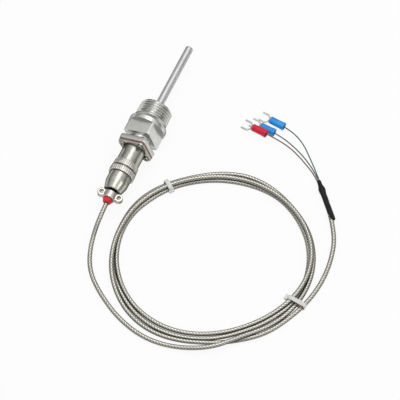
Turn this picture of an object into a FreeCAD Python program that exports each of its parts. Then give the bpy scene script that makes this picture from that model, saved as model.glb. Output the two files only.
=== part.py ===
import FreeCAD, Part
import math
import os
import re
import Sketcher

doc = FreeCAD.newDocument("rtd_sensor")
sheet = doc.addObject("Spreadsheet::Sheet", "Sizes")

# Driving sizes in millimetres and degrees
driving = {
    # Probe and what lies in it
    "probe_radius": 2.5,
    "probe_wall": 0.5,
    "probe_reach": 48.0,
    "probe_seat": 12.0,
    "seat_drop": 0.2,
    "seat_step": 0.6,
    "tip_wall": 1.0,
    "tip_round": 0.9,
    "element_radius": 1.75,
    "element_length": 15.0,
    "element_gap": 0.2,
    "lead_radius": 0.25,
    "lead_circle": 0.9,
    # Process fitting: taper thread, collar, wrench flats, neck and plate
    "thread_radius": 10.65,
    "thread_length": 10.7,
    "thread_pitch": 1.814,
    "thread_depth": 1.1,
    "thread_nose": 0.5,
    "cone_length": 2.7,
    "collar_radius": 12.4,
    "collar_length": 2.8,
    "corner_drop": 0.2,
    "across_flats": 18.3,
    "square_length": 8.6,
    "neck_radius": 7.0,
    "neck_length": 3.1,
    "plate_thickness": 3.2,
    "cavity_radius": 5.4,
    "cavity_depth": 17.0,
    "square_roll": 19.0,
    "braze_gap": 0.03,
    # Flange, gasket and flange screws
    "gasket_thickness": 0.95,
    "gasket_margin": 0.1,
    "flange_thickness": 1.45,
    "flange_corner": 2.4,
    "screw_spacing": 13.0,
    "screw_shank": 1.0,
    "screw_head": 1.9,
    "head_height": 1.3,
    "screw_tail": 0.8,
    "screw_gap": 0.1,
    # Receptacle
    "barrel_radius": 5.95,
    "barrel_wall": 1.0,
    "barrel_length": 8.5,
    "spigot_length": 3.0,
    "spigot_gap": 0.15,
    "insert_gap": 0.05,
    "insert_reach": 2.7,
    "insert_recess": 0.5,
    "pin_circle": 2.5,
    "pin_radius": 0.5,
    "pin_recess": 1.6,
    "pin_gap": 0.05,
    "pin_nose": 0.25,
    "cup_radius": 0.75,
    "cup_length": 2.9,
    # Plug
    "mating_gap": 0.4,
    "nose_gap": 0.1,
    "plug_wall": 0.65,
    "seat_gap": 0.5,
    "plug_flange": 1.4,
    "plug_body": 5.2,
    "plug_insert_length": 10.2,
    "socket_radius": 0.9,
    "socket_tail": 2.6,
    "wire_radius": 0.4,
    # Coupling nut
    "nut_gap": 0.5,
    "nut_length": 19.4,
    "nut_sleeve": 10.4,
    "nut_radius": 7.3,
    "nut_ring": 8.4,
    "front_ring": 4.2,
    "ring_groove": 1.1,
    "groove_drop": 0.6,
    "nut_lip": 3.0,
    "nut_play": 0.2,
    "running_gap": 0.08,
    "nut_chamfer": 0.35,
    "knurl_depth": 0.3,
    "knurl_count": 40,
    # Backshell and cable clamp
    "shell_front": 6.9,
    "shell_radius": 7.3,
    "shell_straight": 5.8,
    "shell_taper": 6.0,
    "shell_end_radius": 5.6,
    "shell_wall": 1.1,
    "shell_thread": 4.3,
    "saddle_length": 5.8,
    "saddle_wall": 1.5,
    "strap_length": 4.7,
    "strap_gap": 0.3,
    "ear_reach": 5.8,
    "ear_radius": 2.6,
    "ear_thickness": 1.7,
    "clamp_shank": 0.75,
    "clamp_head": 1.3,
    "clamp_sink": 0.8,
    # Bush and cable
    "cable_radius": 1.4,
    "cable_gap": 0.05,
    "bush_wall": 1.25,
    "bush_collar": 3.4,
    "bush_end": 2.3,
    "bush_taper": 3.0,
    # Cord end pieces
    "coil_height": 5.4,
    "coil_round": 1.8,
    "tie_width": 3.0,
    "tie_thickness": 0.9,
    "shrink_wall": 0.45,
    "shrink_length": 28.7,
    "shrink_bulge": 2.3,
    "sleeve_radius": 2.35,
    "sleeve_length": 10.0,
    "sleeve_flare": 0.3,
    "sleeve_wall": 0.8,
    "crimp_length": 6.3,
    "fork_length": 7.1,
    "fork_width": 6.9,
    "fork_slot": 4.8,
    "fork_sheet": 0.8,
}

# Sizes that follow from the driving ones
derived = {
    "probe_length": "probe_reach + probe_seat",
    "probe_inner": "probe_radius - probe_wall",
    "element_start": "tip_wall + element_gap",
    "element_end": "element_start + element_length",
    "seat_radius": "probe_radius - seat_drop",
    "seat_start": "probe_reach - seat_step",
    "probe_bore": "seat_radius + braze_gap",
    "cone_end": "thread_length + cone_length",
    "collar_end": "cone_end + collar_length",
    "corner_radius": "collar_radius - corner_drop",
    "block_end": "collar_end + square_length",
    "neck_end": "block_end + neck_length",
    "plate_end": "neck_end + plate_thickness",
    "cavity_start": "plate_end - cavity_depth",
    "half_flats": "across_flats / 2",
    "gasket_end": "plate_end + gasket_thickness",
    "half_gasket": "half_flats + gasket_margin",
    "flange_end": "gasket_end + flange_thickness",
    "half_screws": "screw_spacing / 2",
    "screw_hole": "screw_shank + screw_gap",
    "spigot_start": "gasket_end - spigot_length",
    "spigot_radius": "cavity_radius - spigot_gap",
    "barrel_bore": "barrel_radius - barrel_wall",
    "barrel_end": "flange_end + barrel_length",
    "insert_start": "spigot_start + insert_recess",
    "insert_end": "flange_end + insert_reach",
    "insert_radius": "barrel_bore - insert_gap",
    "pin_hole": "pin_radius + pin_gap",
    "pin_start": "insert_start - cup_length",
    "pin_end": "barrel_end - pin_recess",
    "plug_start": "insert_end + mating_gap",
    "nose_radius": "barrel_bore - nose_gap",
    "plug_bore": "nose_radius - plug_wall",
    "plug_insert_radius": "plug_bore - insert_gap",
    "plug_insert_start": "plug_start + insert_recess / 4",
    "plug_insert_end": "plug_start + plug_insert_length",
    "flange_start": "barrel_end + seat_gap",
    "plug_flange_end": "flange_start + plug_flange",
    "nut_bore": "barrel_radius + running_gap",
    "lip_radius": "plug_body + running_gap",
    "nut_start": "flange_end + nut_gap",
    "nut_end": "nut_start + nut_length",
    "ring_start": "nut_start + nut_sleeve",
    "groove_start": "ring_start + front_ring",
    "groove_end": "groove_start + ring_groove",
    "lip_start": "plug_flange_end + nut_play",
    "lip_end": "lip_start + nut_lip",
    "rear_bore": "shell_front + 0.3",
    "socket_bore": "pin_radius + pin_gap",
    "socket_hole": "socket_radius + pin_gap",
    "socket_start": "plug_insert_start + insert_recess",
    "socket_end": "plug_insert_end + socket_tail",
    "shell_start": "lip_end + nut_play",
    "plug_end": "shell_start + shell_thread",
    "shoulder": "nut_end + nut_play",
    "taper_start": "shoulder + shell_straight",
    "shell_end": "taper_start + shell_taper",
    "shell_bore": "plug_body + insert_gap",
    "bush_bore": "cable_radius + cable_gap",
    "bush_radius": "bush_bore + bush_wall",
    "saddle_bore": "bush_radius + insert_gap",
    "saddle_radius": "saddle_bore + saddle_wall",
    "saddle_end": "shell_end + saddle_length",
    "strap_start": "saddle_end - strap_length",
    "ear_station": "saddle_end - strap_length / 2 - 0.3",
    "half_gap": "strap_gap / 2",
    "bush_start": "shell_end - 1.8",
    "bush_shoulder": "saddle_end + insert_gap",
    "bush_tail": "bush_shoulder + bush_taper",
    "cable_start": "taper_start + 0.3",
    "shrink_radius": "cable_radius + shrink_wall",
    "shrink_bore": "cable_radius + cable_gap",
    "barrel_outer": "sleeve_radius - sleeve_wall - cable_gap",
    "crimp_bore": "barrel_outer - fork_sheet",
    "sleeve_inner": "sleeve_radius - sleeve_wall",
    "wire_hole": "wire_radius + cable_gap",
    "crimp_start": "sleeve_length - crimp_length",
    "fork_end": "sleeve_length + fork_length",
    "half_fork": "fork_width / 2",
    "half_slot": "fork_slot / 2",
}

row = 0
for name, value in driving.items():
    row += 1
    sheet.set(f"A{row}", name)
    sheet.set(f"B{row}", str(value))
    sheet.setAlias(f"B{row}", name)
for name, formula in derived.items():
    row += 1
    sheet.set(f"A{row}", name)
    sheet.set(f"B{row}", "=" + formula)
    sheet.setAlias(f"B{row}", name)
doc.recompute()

along_axis = FreeCAD.Rotation(FreeCAD.Vector(1, 0, 0), 90)
nodes = []


def size(name):
    return float(sheet.get(name))


# Points every size name in a formula at its cell
def bind(formula):
    return re.sub(r"[a-z][a-z_0-9]*", r"Sizes.\g<0>", formula)


# A body whose own Z runs back along the probe axis from the thread's end face
def axial_body(label, roll=0.0, base=FreeCAD.Vector()):
    body = doc.addObject("PartDesign::Body", label)
    body.Label = label
    body.AllowCompound = True
    turn = FreeCAD.Rotation(FreeCAD.Vector(0, 0, 1), roll)
    body.Placement = FreeCAD.Placement(base, along_axis.multiply(turn))
    nodes.append(body)
    return body


def origin_part(body, role):
    return next(item for item in body.Origin.OriginFeatures if item.Role == role)


def new_sketch(body, role, offset="0"):
    sketch = body.newObject("Sketcher::SketchObject", "Sketch")
    sketch.AttachmentSupport = [(origin_part(body, role), "")]
    sketch.MapMode = "FlatFace"
    sketch.setExpression("AttachmentOffset.Base.z", bind(offset))
    sketch.Visibility = False
    return sketch


# Holds one point of a sketch at two formulas from the origin
def hold(sketch, item, point, across, along):
    for kind, formula in (("DistanceX", across), ("DistanceY", along)):
        number = sketch.addConstraint(Sketcher.Constraint(kind, item, point, 1.0))
        sketch.setExpression(f"Constraints[{number}]", bind(formula))


def draw_outline(sketch, corners):
    first = sketch.GeometryCount
    count = len(corners)
    spots = []
    for index in range(count):
        angle = 2 * math.pi * index / count
        spots.append(FreeCAD.Vector(20 + 9 * math.cos(angle), 20 + 9 * math.sin(angle), 0))
    for index in range(count):
        sketch.addGeometry(Part.LineSegment(spots[index], spots[(index + 1) % count]), False)
    for index in range(count):
        following = first + (index + 1) % count
        sketch.addConstraint(Sketcher.Constraint("Coincident", first + index, 2, following, 1))
    for index, (across, along) in enumerate(corners):
        hold(sketch, first + index, 1, across, along)


def draw_circle(sketch, across, along, radius):
    circle = Part.Circle(FreeCAD.Vector(1, 1, 0), FreeCAD.Vector(0, 0, 1), 1.0)
    item = sketch.addGeometry(circle, False)
    hold(sketch, item, 3, across, along)
    number = sketch.addConstraint(Sketcher.Constraint("Radius", item, 1.0))
    sketch.setExpression(f"Constraints[{number}]", bind(radius))


def draw_square(sketch, half):
    draw_outline(sketch, [(half, half), ("-" + half, half), ("-" + half, "-" + half), (half, "-" + half)])


# Turns a closed outline of radius and station about the body's own Z
def revolve(body, corners):
    sketch = new_sketch(body, "XZ_Plane")
    draw_outline(sketch, corners)
    feature = body.newObject("PartDesign::Revolution", "Revolution")
    feature.Profile = sketch
    feature.ReferenceAxis = (sketch, ["V_Axis"])
    feature.Angle = 360
    doc.recompute()
    return feature


def extrude(body, kind, sketch, length, backwards=False):
    feature = body.newObject("PartDesign::" + kind, kind)
    feature.Profile = sketch
    feature.setExpression("Length", bind(length))
    feature.Reversed = backwards
    doc.recompute()
    return feature


def around(body, features, count):
    pattern = body.newObject("PartDesign::PolarPattern", "PolarPattern")
    pattern.Originals = features
    pattern.Axis = (origin_part(body, "Z_Axis"), [""])
    pattern.Angle = 360
    pattern.Occurrences = count
    body.Tip = pattern
    doc.recompute()
    return pattern


def round_edges(body, radius, chosen):
    base = body.Tip
    names = [f"Edge{number}" for number, edge in enumerate(base.Shape.Edges, 1) if chosen(edge)]
    fillet = body.newObject("PartDesign::Fillet", "Fillet")
    fillet.Base = (base, names)
    fillet.setExpression("Radius", bind(radius))
    doc.recompute()
    return fillet


# True for a straight edge that runs along the body's own Z
def runs_along(edge):
    return edge.Curve.TypeId == "Part::GeomLine" and abs(edge.tangentAt(edge.FirstParameter).z) > 0.99


# Four round holes, one near each corner of a square plate
def corner_holes(body, radius, station, depth):
    sketch = new_sketch(body, "XY_Plane", station)
    for across in ("half_screws", "-half_screws"):
        for along in ("half_screws", "-half_screws"):
            draw_circle(sketch, across, along, radius)
    return extrude(body, "Pocket", sketch, depth)


def bore(body, radius, station, depth):
    sketch = new_sketch(body, "XY_Plane", station)
    draw_circle(sketch, "0", "0", radius)
    return extrude(body, "Pocket", sketch, depth)


# Round holes for the three contacts
def contact_holes(body, radius, station, depth):
    sketch = new_sketch(body, "XY_Plane", station)
    draw_circle(sketch, "pin_circle", "0", radius)
    hole = extrude(body, "Pocket", sketch, depth)
    return around(body, [hole], 3)


# A round tube along straight runs that are joined by tangent arcs
def tube(label, points, radius):
    edges = []
    start = points[0]
    radii = []
    for before, corner, after in zip(points, points[1:], points[2:]):
        coming = corner - before
        going = after - corner
        turn = coming.getAngle(going)
        trim = 0.45 * min(coming.Length, going.Length)
        bend = trim / math.tan(turn / 2)
        coming.normalize()
        going.normalize()
        enter = corner - coming * trim
        leave = corner + going * trim
        inward = going - coming
        inward.normalize()
        middle = corner + inward * (bend / math.cos(turn / 2) - bend)
        edges.append(Part.LineSegment(start, enter).toShape())
        edges.append(Part.Arc(enter, middle, leave).toShape())
        radii.append(bend)
        start = leave
    edges.append(Part.LineSegment(start, points[-1]).toShape())
    path = Part.Wire(edges)
    heading = points[1] - points[0]
    rim = Part.Wire([Part.makeCircle(radius, points[0], heading)])
    solid = path.makePipeShell([rim], True, True)
    share = solid.Volume / (math.pi * radius ** 2 * path.Length)
    print(f"{label}: length {path.Length:.0f}, least bend radius {min(radii):.1f}, volume share {share:.3f}")
    feature = doc.addObject("Part::Feature", label)
    feature.Label = label
    feature.Shape = solid
    nodes.append(feature)
    return feature


# A point on the probe axis's own frame: across, up and back along the axis
def axial_point(across, up, station):
    return FreeCAD.Vector(across, -station, up)


floor = -size("collar_radius")


# A point at a height over the surface that the part lies on
def floor_point(x, y, height):
    return FreeCAD.Vector(x, y, floor + height)


# Probe sheath, closed and rounded at the tip and ground a little smaller where it is brazed in
tip = FreeCAD.Vector(0, size("probe_reach"), 0)
sheath = axial_body("probe_sheath", 0.0, tip)
revolve(sheath, [
    ("0", "0"),
    ("probe_radius", "0"),
    ("probe_radius", "seat_start"),
    ("seat_radius", "seat_start"),
    ("seat_radius", "probe_length"),
    ("probe_inner", "probe_length"),
    ("probe_inner", "tip_wall"),
    ("0", "tip_wall"),
])
outer = size("probe_radius")
round_edges(sheath, "tip_round", lambda edge: edge.BoundBox.ZMax < 0.01 and edge.BoundBox.XMax > outer - 0.01)

# Sensing element near the tip
element = axial_body("sensing_element", 0.0, tip)
revolve(element, [
    ("0", "element_start"),
    ("element_radius", "element_start"),
    ("element_radius", "element_end"),
    ("0", "element_end"),
])

# Leads from the element to the solder cups of the pins
contact_angles = [90 + 120 * index for index in range(3)]
for index, degrees in enumerate(contact_angles, 1):
    angle = math.radians(degrees)
    inside = size("lead_circle")
    outside = size("pin_circle")
    stations = [
        (inside, size("element_end") - size("probe_reach")),
        (inside, size("probe_seat") + 4.0),
        (outside, size("pin_start") - 2.5),
        (outside, size("pin_start")),
    ]
    tube(
        f"element_lead_{index}",
        [axial_point(reach * math.cos(angle), reach * math.sin(angle), station) for reach, station in stations],
        size("lead_radius"),
    )

# Process fitting: taper thread, collar, milled square, neck and flange plate
fitting = axial_body("process_fitting", size("square_roll"))
taper = "thread_radius - (thread_length - ({0})) / 32"
outline = [("probe_bore", "0"), (taper.format("0") + " - thread_depth", "0")]
turns = int((size("thread_length") - size("thread_nose") - 0.6) / size("thread_pitch"))
for ridge in range(turns):
    for share, drop in ((0.0, " - thread_depth"), (0.42, ""), (0.58, "")):
        station = f"thread_nose + {ridge + share:.2f} * thread_pitch"
        outline.append((taper.format(station) + drop, station))
last = f"thread_nose + {turns} * thread_pitch"
outline += [
    (taper.format(last) + " - thread_depth", last),
    ("thread_radius", "thread_length"),
    ("collar_radius", "cone_end"),
    ("collar_radius", "collar_end"),
    ("corner_radius", "collar_end"),
    ("corner_radius", "block_end"),
    ("neck_radius", "block_end"),
    ("neck_radius", "neck_end"),
    ("corner_radius", "neck_end"),
    ("corner_radius", "plate_end"),
    ("cavity_radius", "plate_end"),
    ("cavity_radius", "cavity_start"),
    ("probe_bore", "cavity_start"),
]
revolve(fitting, outline)
flats = new_sketch(fitting, "XY_Plane", "plate_end")
draw_circle(flats, "0", "0", "2 * collar_radius")
draw_square(flats, "half_flats")
extrude(fitting, "Pocket", flats, "plate_end - collar_end")
corner_holes(fitting, "screw_hole", "plate_end", "plate_thickness")

# Gasket between plate and flange
gasket = axial_body("flange_gasket", size("square_roll"))
sheet_square = new_sketch(gasket, "XY_Plane", "plate_end")
draw_square(sheet_square, "half_gasket")
extrude(gasket, "Pad", sheet_square, "gasket_thickness")
round_edges(gasket, "flange_corner", runs_along)
bore(gasket, "cavity_radius", "gasket_end", "gasket_thickness")
corner_holes(gasket, "screw_hole", "gasket_end", "gasket_thickness")

# Receptacle shell: square flange, spigot and coupling barrel
receptacle = axial_body("receptacle_shell", size("square_roll"))
flange = new_sketch(receptacle, "XY_Plane", "gasket_end")
draw_square(flange, "half_flats")
extrude(receptacle, "Pad", flange, "flange_thickness")
round_edges(receptacle, "flange_corner", runs_along)
revolve(receptacle, [
    ("0", "spigot_start"),
    ("spigot_radius", "spigot_start"),
    ("spigot_radius", "flange_end"),
    ("barrel_radius", "flange_end"),
    ("barrel_radius", "barrel_end - nut_chamfer"),
    ("barrel_radius - nut_chamfer", "barrel_end"),
    ("0", "barrel_end"),
])
bore(receptacle, "barrel_bore", "barrel_end", "barrel_end - spigot_start")
corner_holes(receptacle, "screw_hole", "flange_end", "flange_thickness")

# Flange screws, all four as one node
screws = axial_body("flange_screws", size("square_roll"))
shank = new_sketch(screws, "XY_Plane", "neck_end - screw_tail")
draw_circle(shank, "half_screws", "half_screws", "screw_shank")
shank_pad = extrude(screws, "Pad", shank, "flange_end - neck_end + screw_tail + head_height / 2")
head = new_sketch(screws, "XY_Plane", "flange_end")
draw_circle(head, "half_screws", "half_screws", "screw_head")
head_pad = extrude(screws, "Pad", head, "head_height")
around(screws, [shank_pad, head_pad], 4)

# Insulating insert of the receptacle
insert = axial_body("receptacle_insert", contact_angles[0])
revolve(insert, [
    ("0", "insert_start"),
    ("insert_radius", "insert_start"),
    ("insert_radius", "insert_end"),
    ("0", "insert_end"),
])
contact_holes(insert, "pin_hole", "insert_end", "insert_end - insert_start")


# Where the axis of one contact meets the plane of the thread's end face
def contact_base(degrees):
    angle = math.radians(degrees)
    reach = size("pin_circle")
    return axial_point(reach * math.cos(angle), reach * math.sin(angle), 0.0)


# Contact pins with solder cups
for index, degrees in enumerate(contact_angles, 1):
    pin = axial_body(f"contact_pin_{index}", 0.0, contact_base(degrees))
    revolve(pin, [
        ("0", "pin_start"),
        ("cup_radius", "pin_start"),
        ("cup_radius", "insert_start"),
        ("pin_radius", "insert_start"),
        ("pin_radius", "pin_end - pin_nose"),
        ("pin_radius - pin_nose", "pin_end"),
        ("0", "pin_end"),
    ])

# Plug shell: nose, flange for the nut, threaded body
plug = axial_body("plug_shell")
revolve(plug, [
    ("plug_bore", "plug_start"),
    ("nose_radius - 0.2", "plug_start"),
    ("nose_radius", "plug_start + 0.2"),
    ("nose_radius", "flange_start"),
    ("nut_bore - running_gap", "flange_start"),
    ("nut_bore - running_gap", "plug_flange_end"),
    ("plug_body", "plug_flange_end"),
    ("plug_body", "plug_end"),
    ("plug_bore - 0.5", "plug_end"),
    ("plug_bore - 0.5", "plug_insert_end + 0.1"),
    ("plug_bore", "plug_insert_end + 0.1"),
])

# Insulating insert of the plug
plug_insert = axial_body("plug_insert", contact_angles[0])
revolve(plug_insert, [
    ("0", "plug_insert_start"),
    ("plug_insert_radius", "plug_insert_start"),
    ("plug_insert_radius", "plug_insert_end"),
    ("0", "plug_insert_end"),
])
contact_holes(plug_insert, "socket_hole", "plug_insert_end", "plug_insert_length")

# Contact sockets, and the cable's wires that are soldered to them
for index, degrees in enumerate(contact_angles, 1):
    socket = axial_body(f"contact_socket_{index}", 0.0, contact_base(degrees))
    revolve(socket, [
        ("socket_bore", "socket_start"),
        ("socket_radius", "socket_start"),
        ("socket_radius", "socket_end"),
        ("0", "socket_end"),
        ("0", "pin_end + 1"),
        ("socket_bore", "pin_end + 1"),
    ])
    angle = math.radians(degrees)
    inside = 1.2 * size("wire_radius")
    outside = size("pin_circle")
    stations = [
        (outside, size("socket_end")),
        (outside, size("socket_end") + 2.2),
        (inside, size("cable_start") - 2.2),
        (inside, size("cable_start")),
    ]
    tube(
        f"plug_wire_{index}",
        [axial_point(reach * math.cos(angle), reach * math.sin(angle), station) for reach, station in stations],
        size("wire_radius"),
    )

# Coupling nut with knurled rings
nut = axial_body("coupling_nut")
revolve(nut, [
    ("nut_bore", "nut_start"),
    ("nut_radius - nut_chamfer", "nut_start"),
    ("nut_radius", "nut_start + nut_chamfer"),
    ("nut_radius", "ring_start"),
    ("nut_ring - groove_drop", "ring_start"),
    ("nut_ring - 0.1", "groove_start"),
    ("nut_ring - groove_drop", "groove_start"),
    ("nut_ring - groove_drop", "groove_end"),
    ("nut_ring", "groove_end"),
    ("nut_ring", "nut_end - nut_chamfer"),
    ("nut_ring - nut_chamfer", "nut_end"),
    ("rear_bore", "nut_end"),
    ("rear_bore", "lip_end"),
    ("lip_radius", "lip_end"),
    ("lip_radius", "lip_start"),
    ("nut_bore", "lip_start"),
])
flute = new_sketch(nut, "XY_Plane", "nut_end")
draw_outline(flute, [
    ("nut_ring - knurl_depth", "0"),
    ("nut_ring + 0.2", "0.8 * knurl_depth + 0.16"),
    ("nut_ring + 0.2", "-0.8 * knurl_depth - 0.16"),
])
cut = extrude(nut, "Pocket", flute, "nut_end - ring_start")
around(nut, [cut], int(size("knurl_count")))


# Two round ears and their webs, on one side of the clamp's split plane
def clamp_ears(body, offset, backwards):
    for side in ("", "-"):
        ears = new_sketch(body, "XZ_Plane", offset)
        draw_circle(ears, side + "ear_reach", "ear_station", "ear_radius")
        extrude(body, "Pad", ears, "ear_thickness", backwards)
        web = new_sketch(body, "XZ_Plane", offset)
        draw_outline(web, [
            (side + "(saddle_bore + saddle_wall / 2)", "ear_station - ear_radius"),
            (side + "ear_reach", "ear_station - ear_radius"),
            (side + "ear_reach", "ear_station + ear_radius"),
            (side + "(saddle_bore + saddle_wall / 2)", "ear_station + ear_radius"),
        ])
        extrude(body, "Pad", web, "ear_thickness", backwards)


# Round holes through both ears, cut from the plane at the offset
def ear_holes(body, radius, offset, depth, backwards):
    sketch = new_sketch(body, "XZ_Plane", offset)
    for side in ("", "-"):
        draw_circle(sketch, side + "ear_reach", "ear_station", radius)
    return extrude(body, "Pocket", sketch, depth, backwards)


# Removes the half of a ring on one side of the split plane
def split_ring(body, start, length, low, high):
    sketch = new_sketch(body, "XY_Plane", start)
    draw_outline(sketch, [
        ("-(saddle_radius + 1)", low),
        ("saddle_radius + 1", low),
        ("saddle_radius + 1", high),
        ("-(saddle_radius + 1)", high),
    ])
    return extrude(body, "Pocket", sketch, length, True)


# Backshell with the lower saddle of the cable clamp
backshell = axial_body("backshell")
revolve(backshell, [
    ("saddle_bore", "shell_end - 2"),
    ("shell_end_radius - shell_wall", "shell_end - 2"),
    ("shell_radius - shell_wall - 1", "taper_start"),
    ("shell_bore", "plug_end + 0.1"),
    ("shell_bore", "shell_start"),
    ("shell_front", "shell_start"),
    ("shell_front", "shoulder"),
    ("shell_radius - 0.3", "shoulder"),
    ("shell_radius", "shoulder + 0.3"),
    ("shell_radius", "taper_start"),
    ("shell_end_radius", "shell_end"),
    ("saddle_radius", "shell_end"),
    ("saddle_radius", "saddle_end"),
    ("saddle_bore", "saddle_end"),
])
split_ring(backshell, "shell_end", "saddle_length", "-half_gap", "saddle_radius + 1")
clamp_ears(backshell, "half_gap", False)
ear_holes(backshell, "clamp_shank", "ear_thickness + half_gap", "ear_thickness", False)

# Loose upper strap of the cable clamp
strap = axial_body("clamp_strap")
revolve(strap, [
    ("saddle_bore", "strap_start"),
    ("saddle_radius", "strap_start"),
    ("saddle_radius", "saddle_end"),
    ("saddle_bore", "saddle_end"),
])
split_ring(strap, "strap_start", "strap_length", "half_gap", "-(saddle_radius + 1)")
clamp_ears(strap, "-half_gap", True)
ear_holes(strap, "clamp_shank + screw_gap", "-half_gap", "ear_thickness", False)
ear_holes(strap, "clamp_head + screw_gap", "-half_gap - ear_thickness + clamp_sink", "clamp_sink", False)

# Clamp screws, both as one node
clamp_screws = axial_body("clamp_screws")
for radius, offset, depth in (
    ("clamp_shank", "ear_thickness + half_gap", "2 * ear_thickness + strap_gap - clamp_sink / 2"),
    ("clamp_head", "-half_gap - ear_thickness + clamp_sink", "clamp_sink"),
):
    sketch = new_sketch(clamp_screws, "XZ_Plane", offset)
    for side in ("", "-"):
        draw_circle(sketch, side + "ear_reach", "ear_station", radius)
    extrude(clamp_screws, "Pad", sketch, depth, True)

# Rubber bush round the cable
bush = axial_body("cable_bush")
revolve(bush, [
    ("bush_bore", "bush_start"),
    ("bush_radius", "bush_start"),
    ("bush_radius", "bush_shoulder"),
    ("bush_collar", "bush_shoulder"),
    ("bush_end", "bush_tail"),
    ("bush_bore", "bush_tail"),
])

# Cable from the plug to the coil; the points are chosen by hand
lead_points = [
    axial_point(0, 0, size("cable_start")),
    axial_point(0, 0, size("cable_start") + 20.5),
    floor_point(0.8, -99.0, 1.5),
    floor_point(8.2, -116.2, 1.45),
    floor_point(22.8, -128.8, 1.5),
    floor_point(40.2, -138.8, 1.45),
    floor_point(59.5, -143.8, 1.5),
    floor_point(79.0, -141.6, 1.9),
    floor_point(98.5, -134.0, 4.6),
    floor_point(111.0, -119.6, 3.4),
]
tube("cable_lead_in", lead_points, size("cable_radius"))

# Coil of cable: one closed oval ring, thicker on the side where the turns spread
coil_centre = floor_point(73.4, -76.4, 0.0)
coil_turn = 24.9
outer_long = 65.9
outer_short = 60.0
ring_width = 7.7
inner_long = outer_long - ring_width
inner_short = outer_short - ring_width
inner_shift = FreeCAD.Vector(-0.16, 0.27, 0) * ring_width


def oval(long, short, centre):
    curve = Part.Ellipse(centre, max(long, short), min(long, short))
    edge = curve.toShape()
    if long < short:
        edge.rotate(centre, FreeCAD.Vector(0, 0, 1), 90)
    return Part.Face(Part.Wire([edge]))


def oval_reach(long, short, centre, degrees):
    angle = math.radians(degrees)
    x = math.cos(angle)
    y = math.sin(angle)
    a = (x / long) ** 2 + (y / short) ** 2
    b = -2 * (x * centre.x / long ** 2 + y * centre.y / short ** 2)
    c = (centre.x / long) ** 2 + (centre.y / short) ** 2 - 1
    return (-b + math.sqrt(b * b - 4 * a * c)) / (2 * a)


coil_height = size("coil_height")
ring = oval(outer_long, outer_short, FreeCAD.Vector()).extrude(FreeCAD.Vector(0, 0, coil_height))
hole = oval(inner_long, inner_short, inner_shift).extrude(FreeCAD.Vector(0, 0, coil_height))
coil_shape = ring.cut(hole)
rims = [edge for edge in coil_shape.Edges if edge.BoundBox.ZLength < 0.01]
coil_shape = coil_shape.makeFillet(size("coil_round"), rims)
coil_turning = FreeCAD.Rotation(FreeCAD.Vector(0, 0, 1), coil_turn)
coil_place = FreeCAD.Placement(coil_centre, coil_turning)


# A nylon tie: a closed flat band round the turns, with its head
def tie(label, degrees):
    far = oval_reach(outer_long, outer_short, FreeCAD.Vector(), degrees)
    near = oval_reach(inner_long, inner_short, inner_shift, degrees)
    band = size("tie_thickness")
    width = size("tie_width")
    proud = 0.4
    deep = far - near + 2 * proud
    tall = coil_height + proud
    angle = FreeCAD.Rotation(FreeCAD.Vector(0, 0, 1), degrees)
    base = coil_place.multiply(FreeCAD.Placement(FreeCAD.Vector(), angle))
    shell = doc.addObject("Part::Box", label + "_outer")
    shell.Length = deep
    shell.setExpression("Width", bind("tie_width"))
    shell.Height = tall
    shell.Placement = base.multiply(FreeCAD.Placement(FreeCAD.Vector(near - proud, -width / 2, 0), FreeCAD.Rotation()))
    opening = doc.addObject("Part::Box", label + "_opening")
    opening.Length = deep - 2 * band
    opening.Width = 2 * width
    opening.Height = tall - 2 * band
    corner = FreeCAD.Vector(near - proud + band, -width, band)
    opening.Placement = base.multiply(FreeCAD.Placement(corner, FreeCAD.Rotation()))
    loop = doc.addObject("Part::Cut", label + "_loop")
    loop.Base = shell
    loop.Tool = opening
    lock = doc.addObject("Part::Box", label + "_head")
    lock.Length = 2.6 + band
    lock.Width = 4.2
    lock.Height = 2.6
    corner = FreeCAD.Vector(near - proud - 2.6, -2.1, 1.6)
    lock.Placement = base.multiply(FreeCAD.Placement(corner, FreeCAD.Rotation()))
    joined = doc.addObject("Part::Fuse", label)
    joined.Base = loop
    joined.Tool = lock
    joined.Label = label
    nodes.append(joined)
    doc.recompute()
    room = 0.05
    notch = Part.makeBox(deep + 2, 4.2 + 2 * room, tall + 2, FreeCAD.Vector(near - 1.4, -2.1 - room, -1))
    keep = Part.makeBox(
        deep - 2 * band - 2 * room,
        9.0,
        tall - 2 * band - 2 * room,
        FreeCAD.Vector(near - proud + band + room, -4.5, band + room),
    )
    cutter = notch.cut(keep)
    cutter.Placement = base
    return cutter


cutters = [tie("cable_tie_upper", 118.6), tie("cable_tie_lower", 328.8)]
coil_shape.Placement = coil_place
for cutter in cutters:
    coil_shape = coil_shape.cut(cutter)
coil = doc.addObject("Part::Feature", "cable_coil")
coil.Label = "cable_coil"
coil.Shape = coil_shape
nodes.append(coil)

# Heat shrink round the far end of the cable
shrink_start = floor_point(129.8, -21.1, 2.35)
shrink_heading = FreeCAD.Vector(-0.666, 0.746, 0)
shrink_heading.normalize()


# A placement at a point whose own Z follows a heading and whose own Y stays up
def headed(point, heading):
    up = FreeCAD.Vector(0, 0, 1)
    side = up.cross(heading)
    return FreeCAD.Placement(point, FreeCAD.Rotation(side, up, heading, "ZYX"))


shrink = axial_body("heat_shrink")
revolve(shrink, [
    ("shrink_bore", "0"),
    ("shrink_radius", "0"),
    ("shrink_radius", "shrink_length - 9"),
    ("shrink_bulge", "shrink_length - 7"),
    ("shrink_bulge", "shrink_length - 5"),
    ("1.3", "shrink_length"),
    ("1.12", "shrink_length"),
    ("1.12", "shrink_length - 10.5"),
    ("shrink_bore", "shrink_length - 10.7"),
])
shrink.Placement = headed(shrink_start, shrink_heading)
cable_end = shrink_start + shrink_heading * (size("shrink_length") - 10.7)

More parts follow.
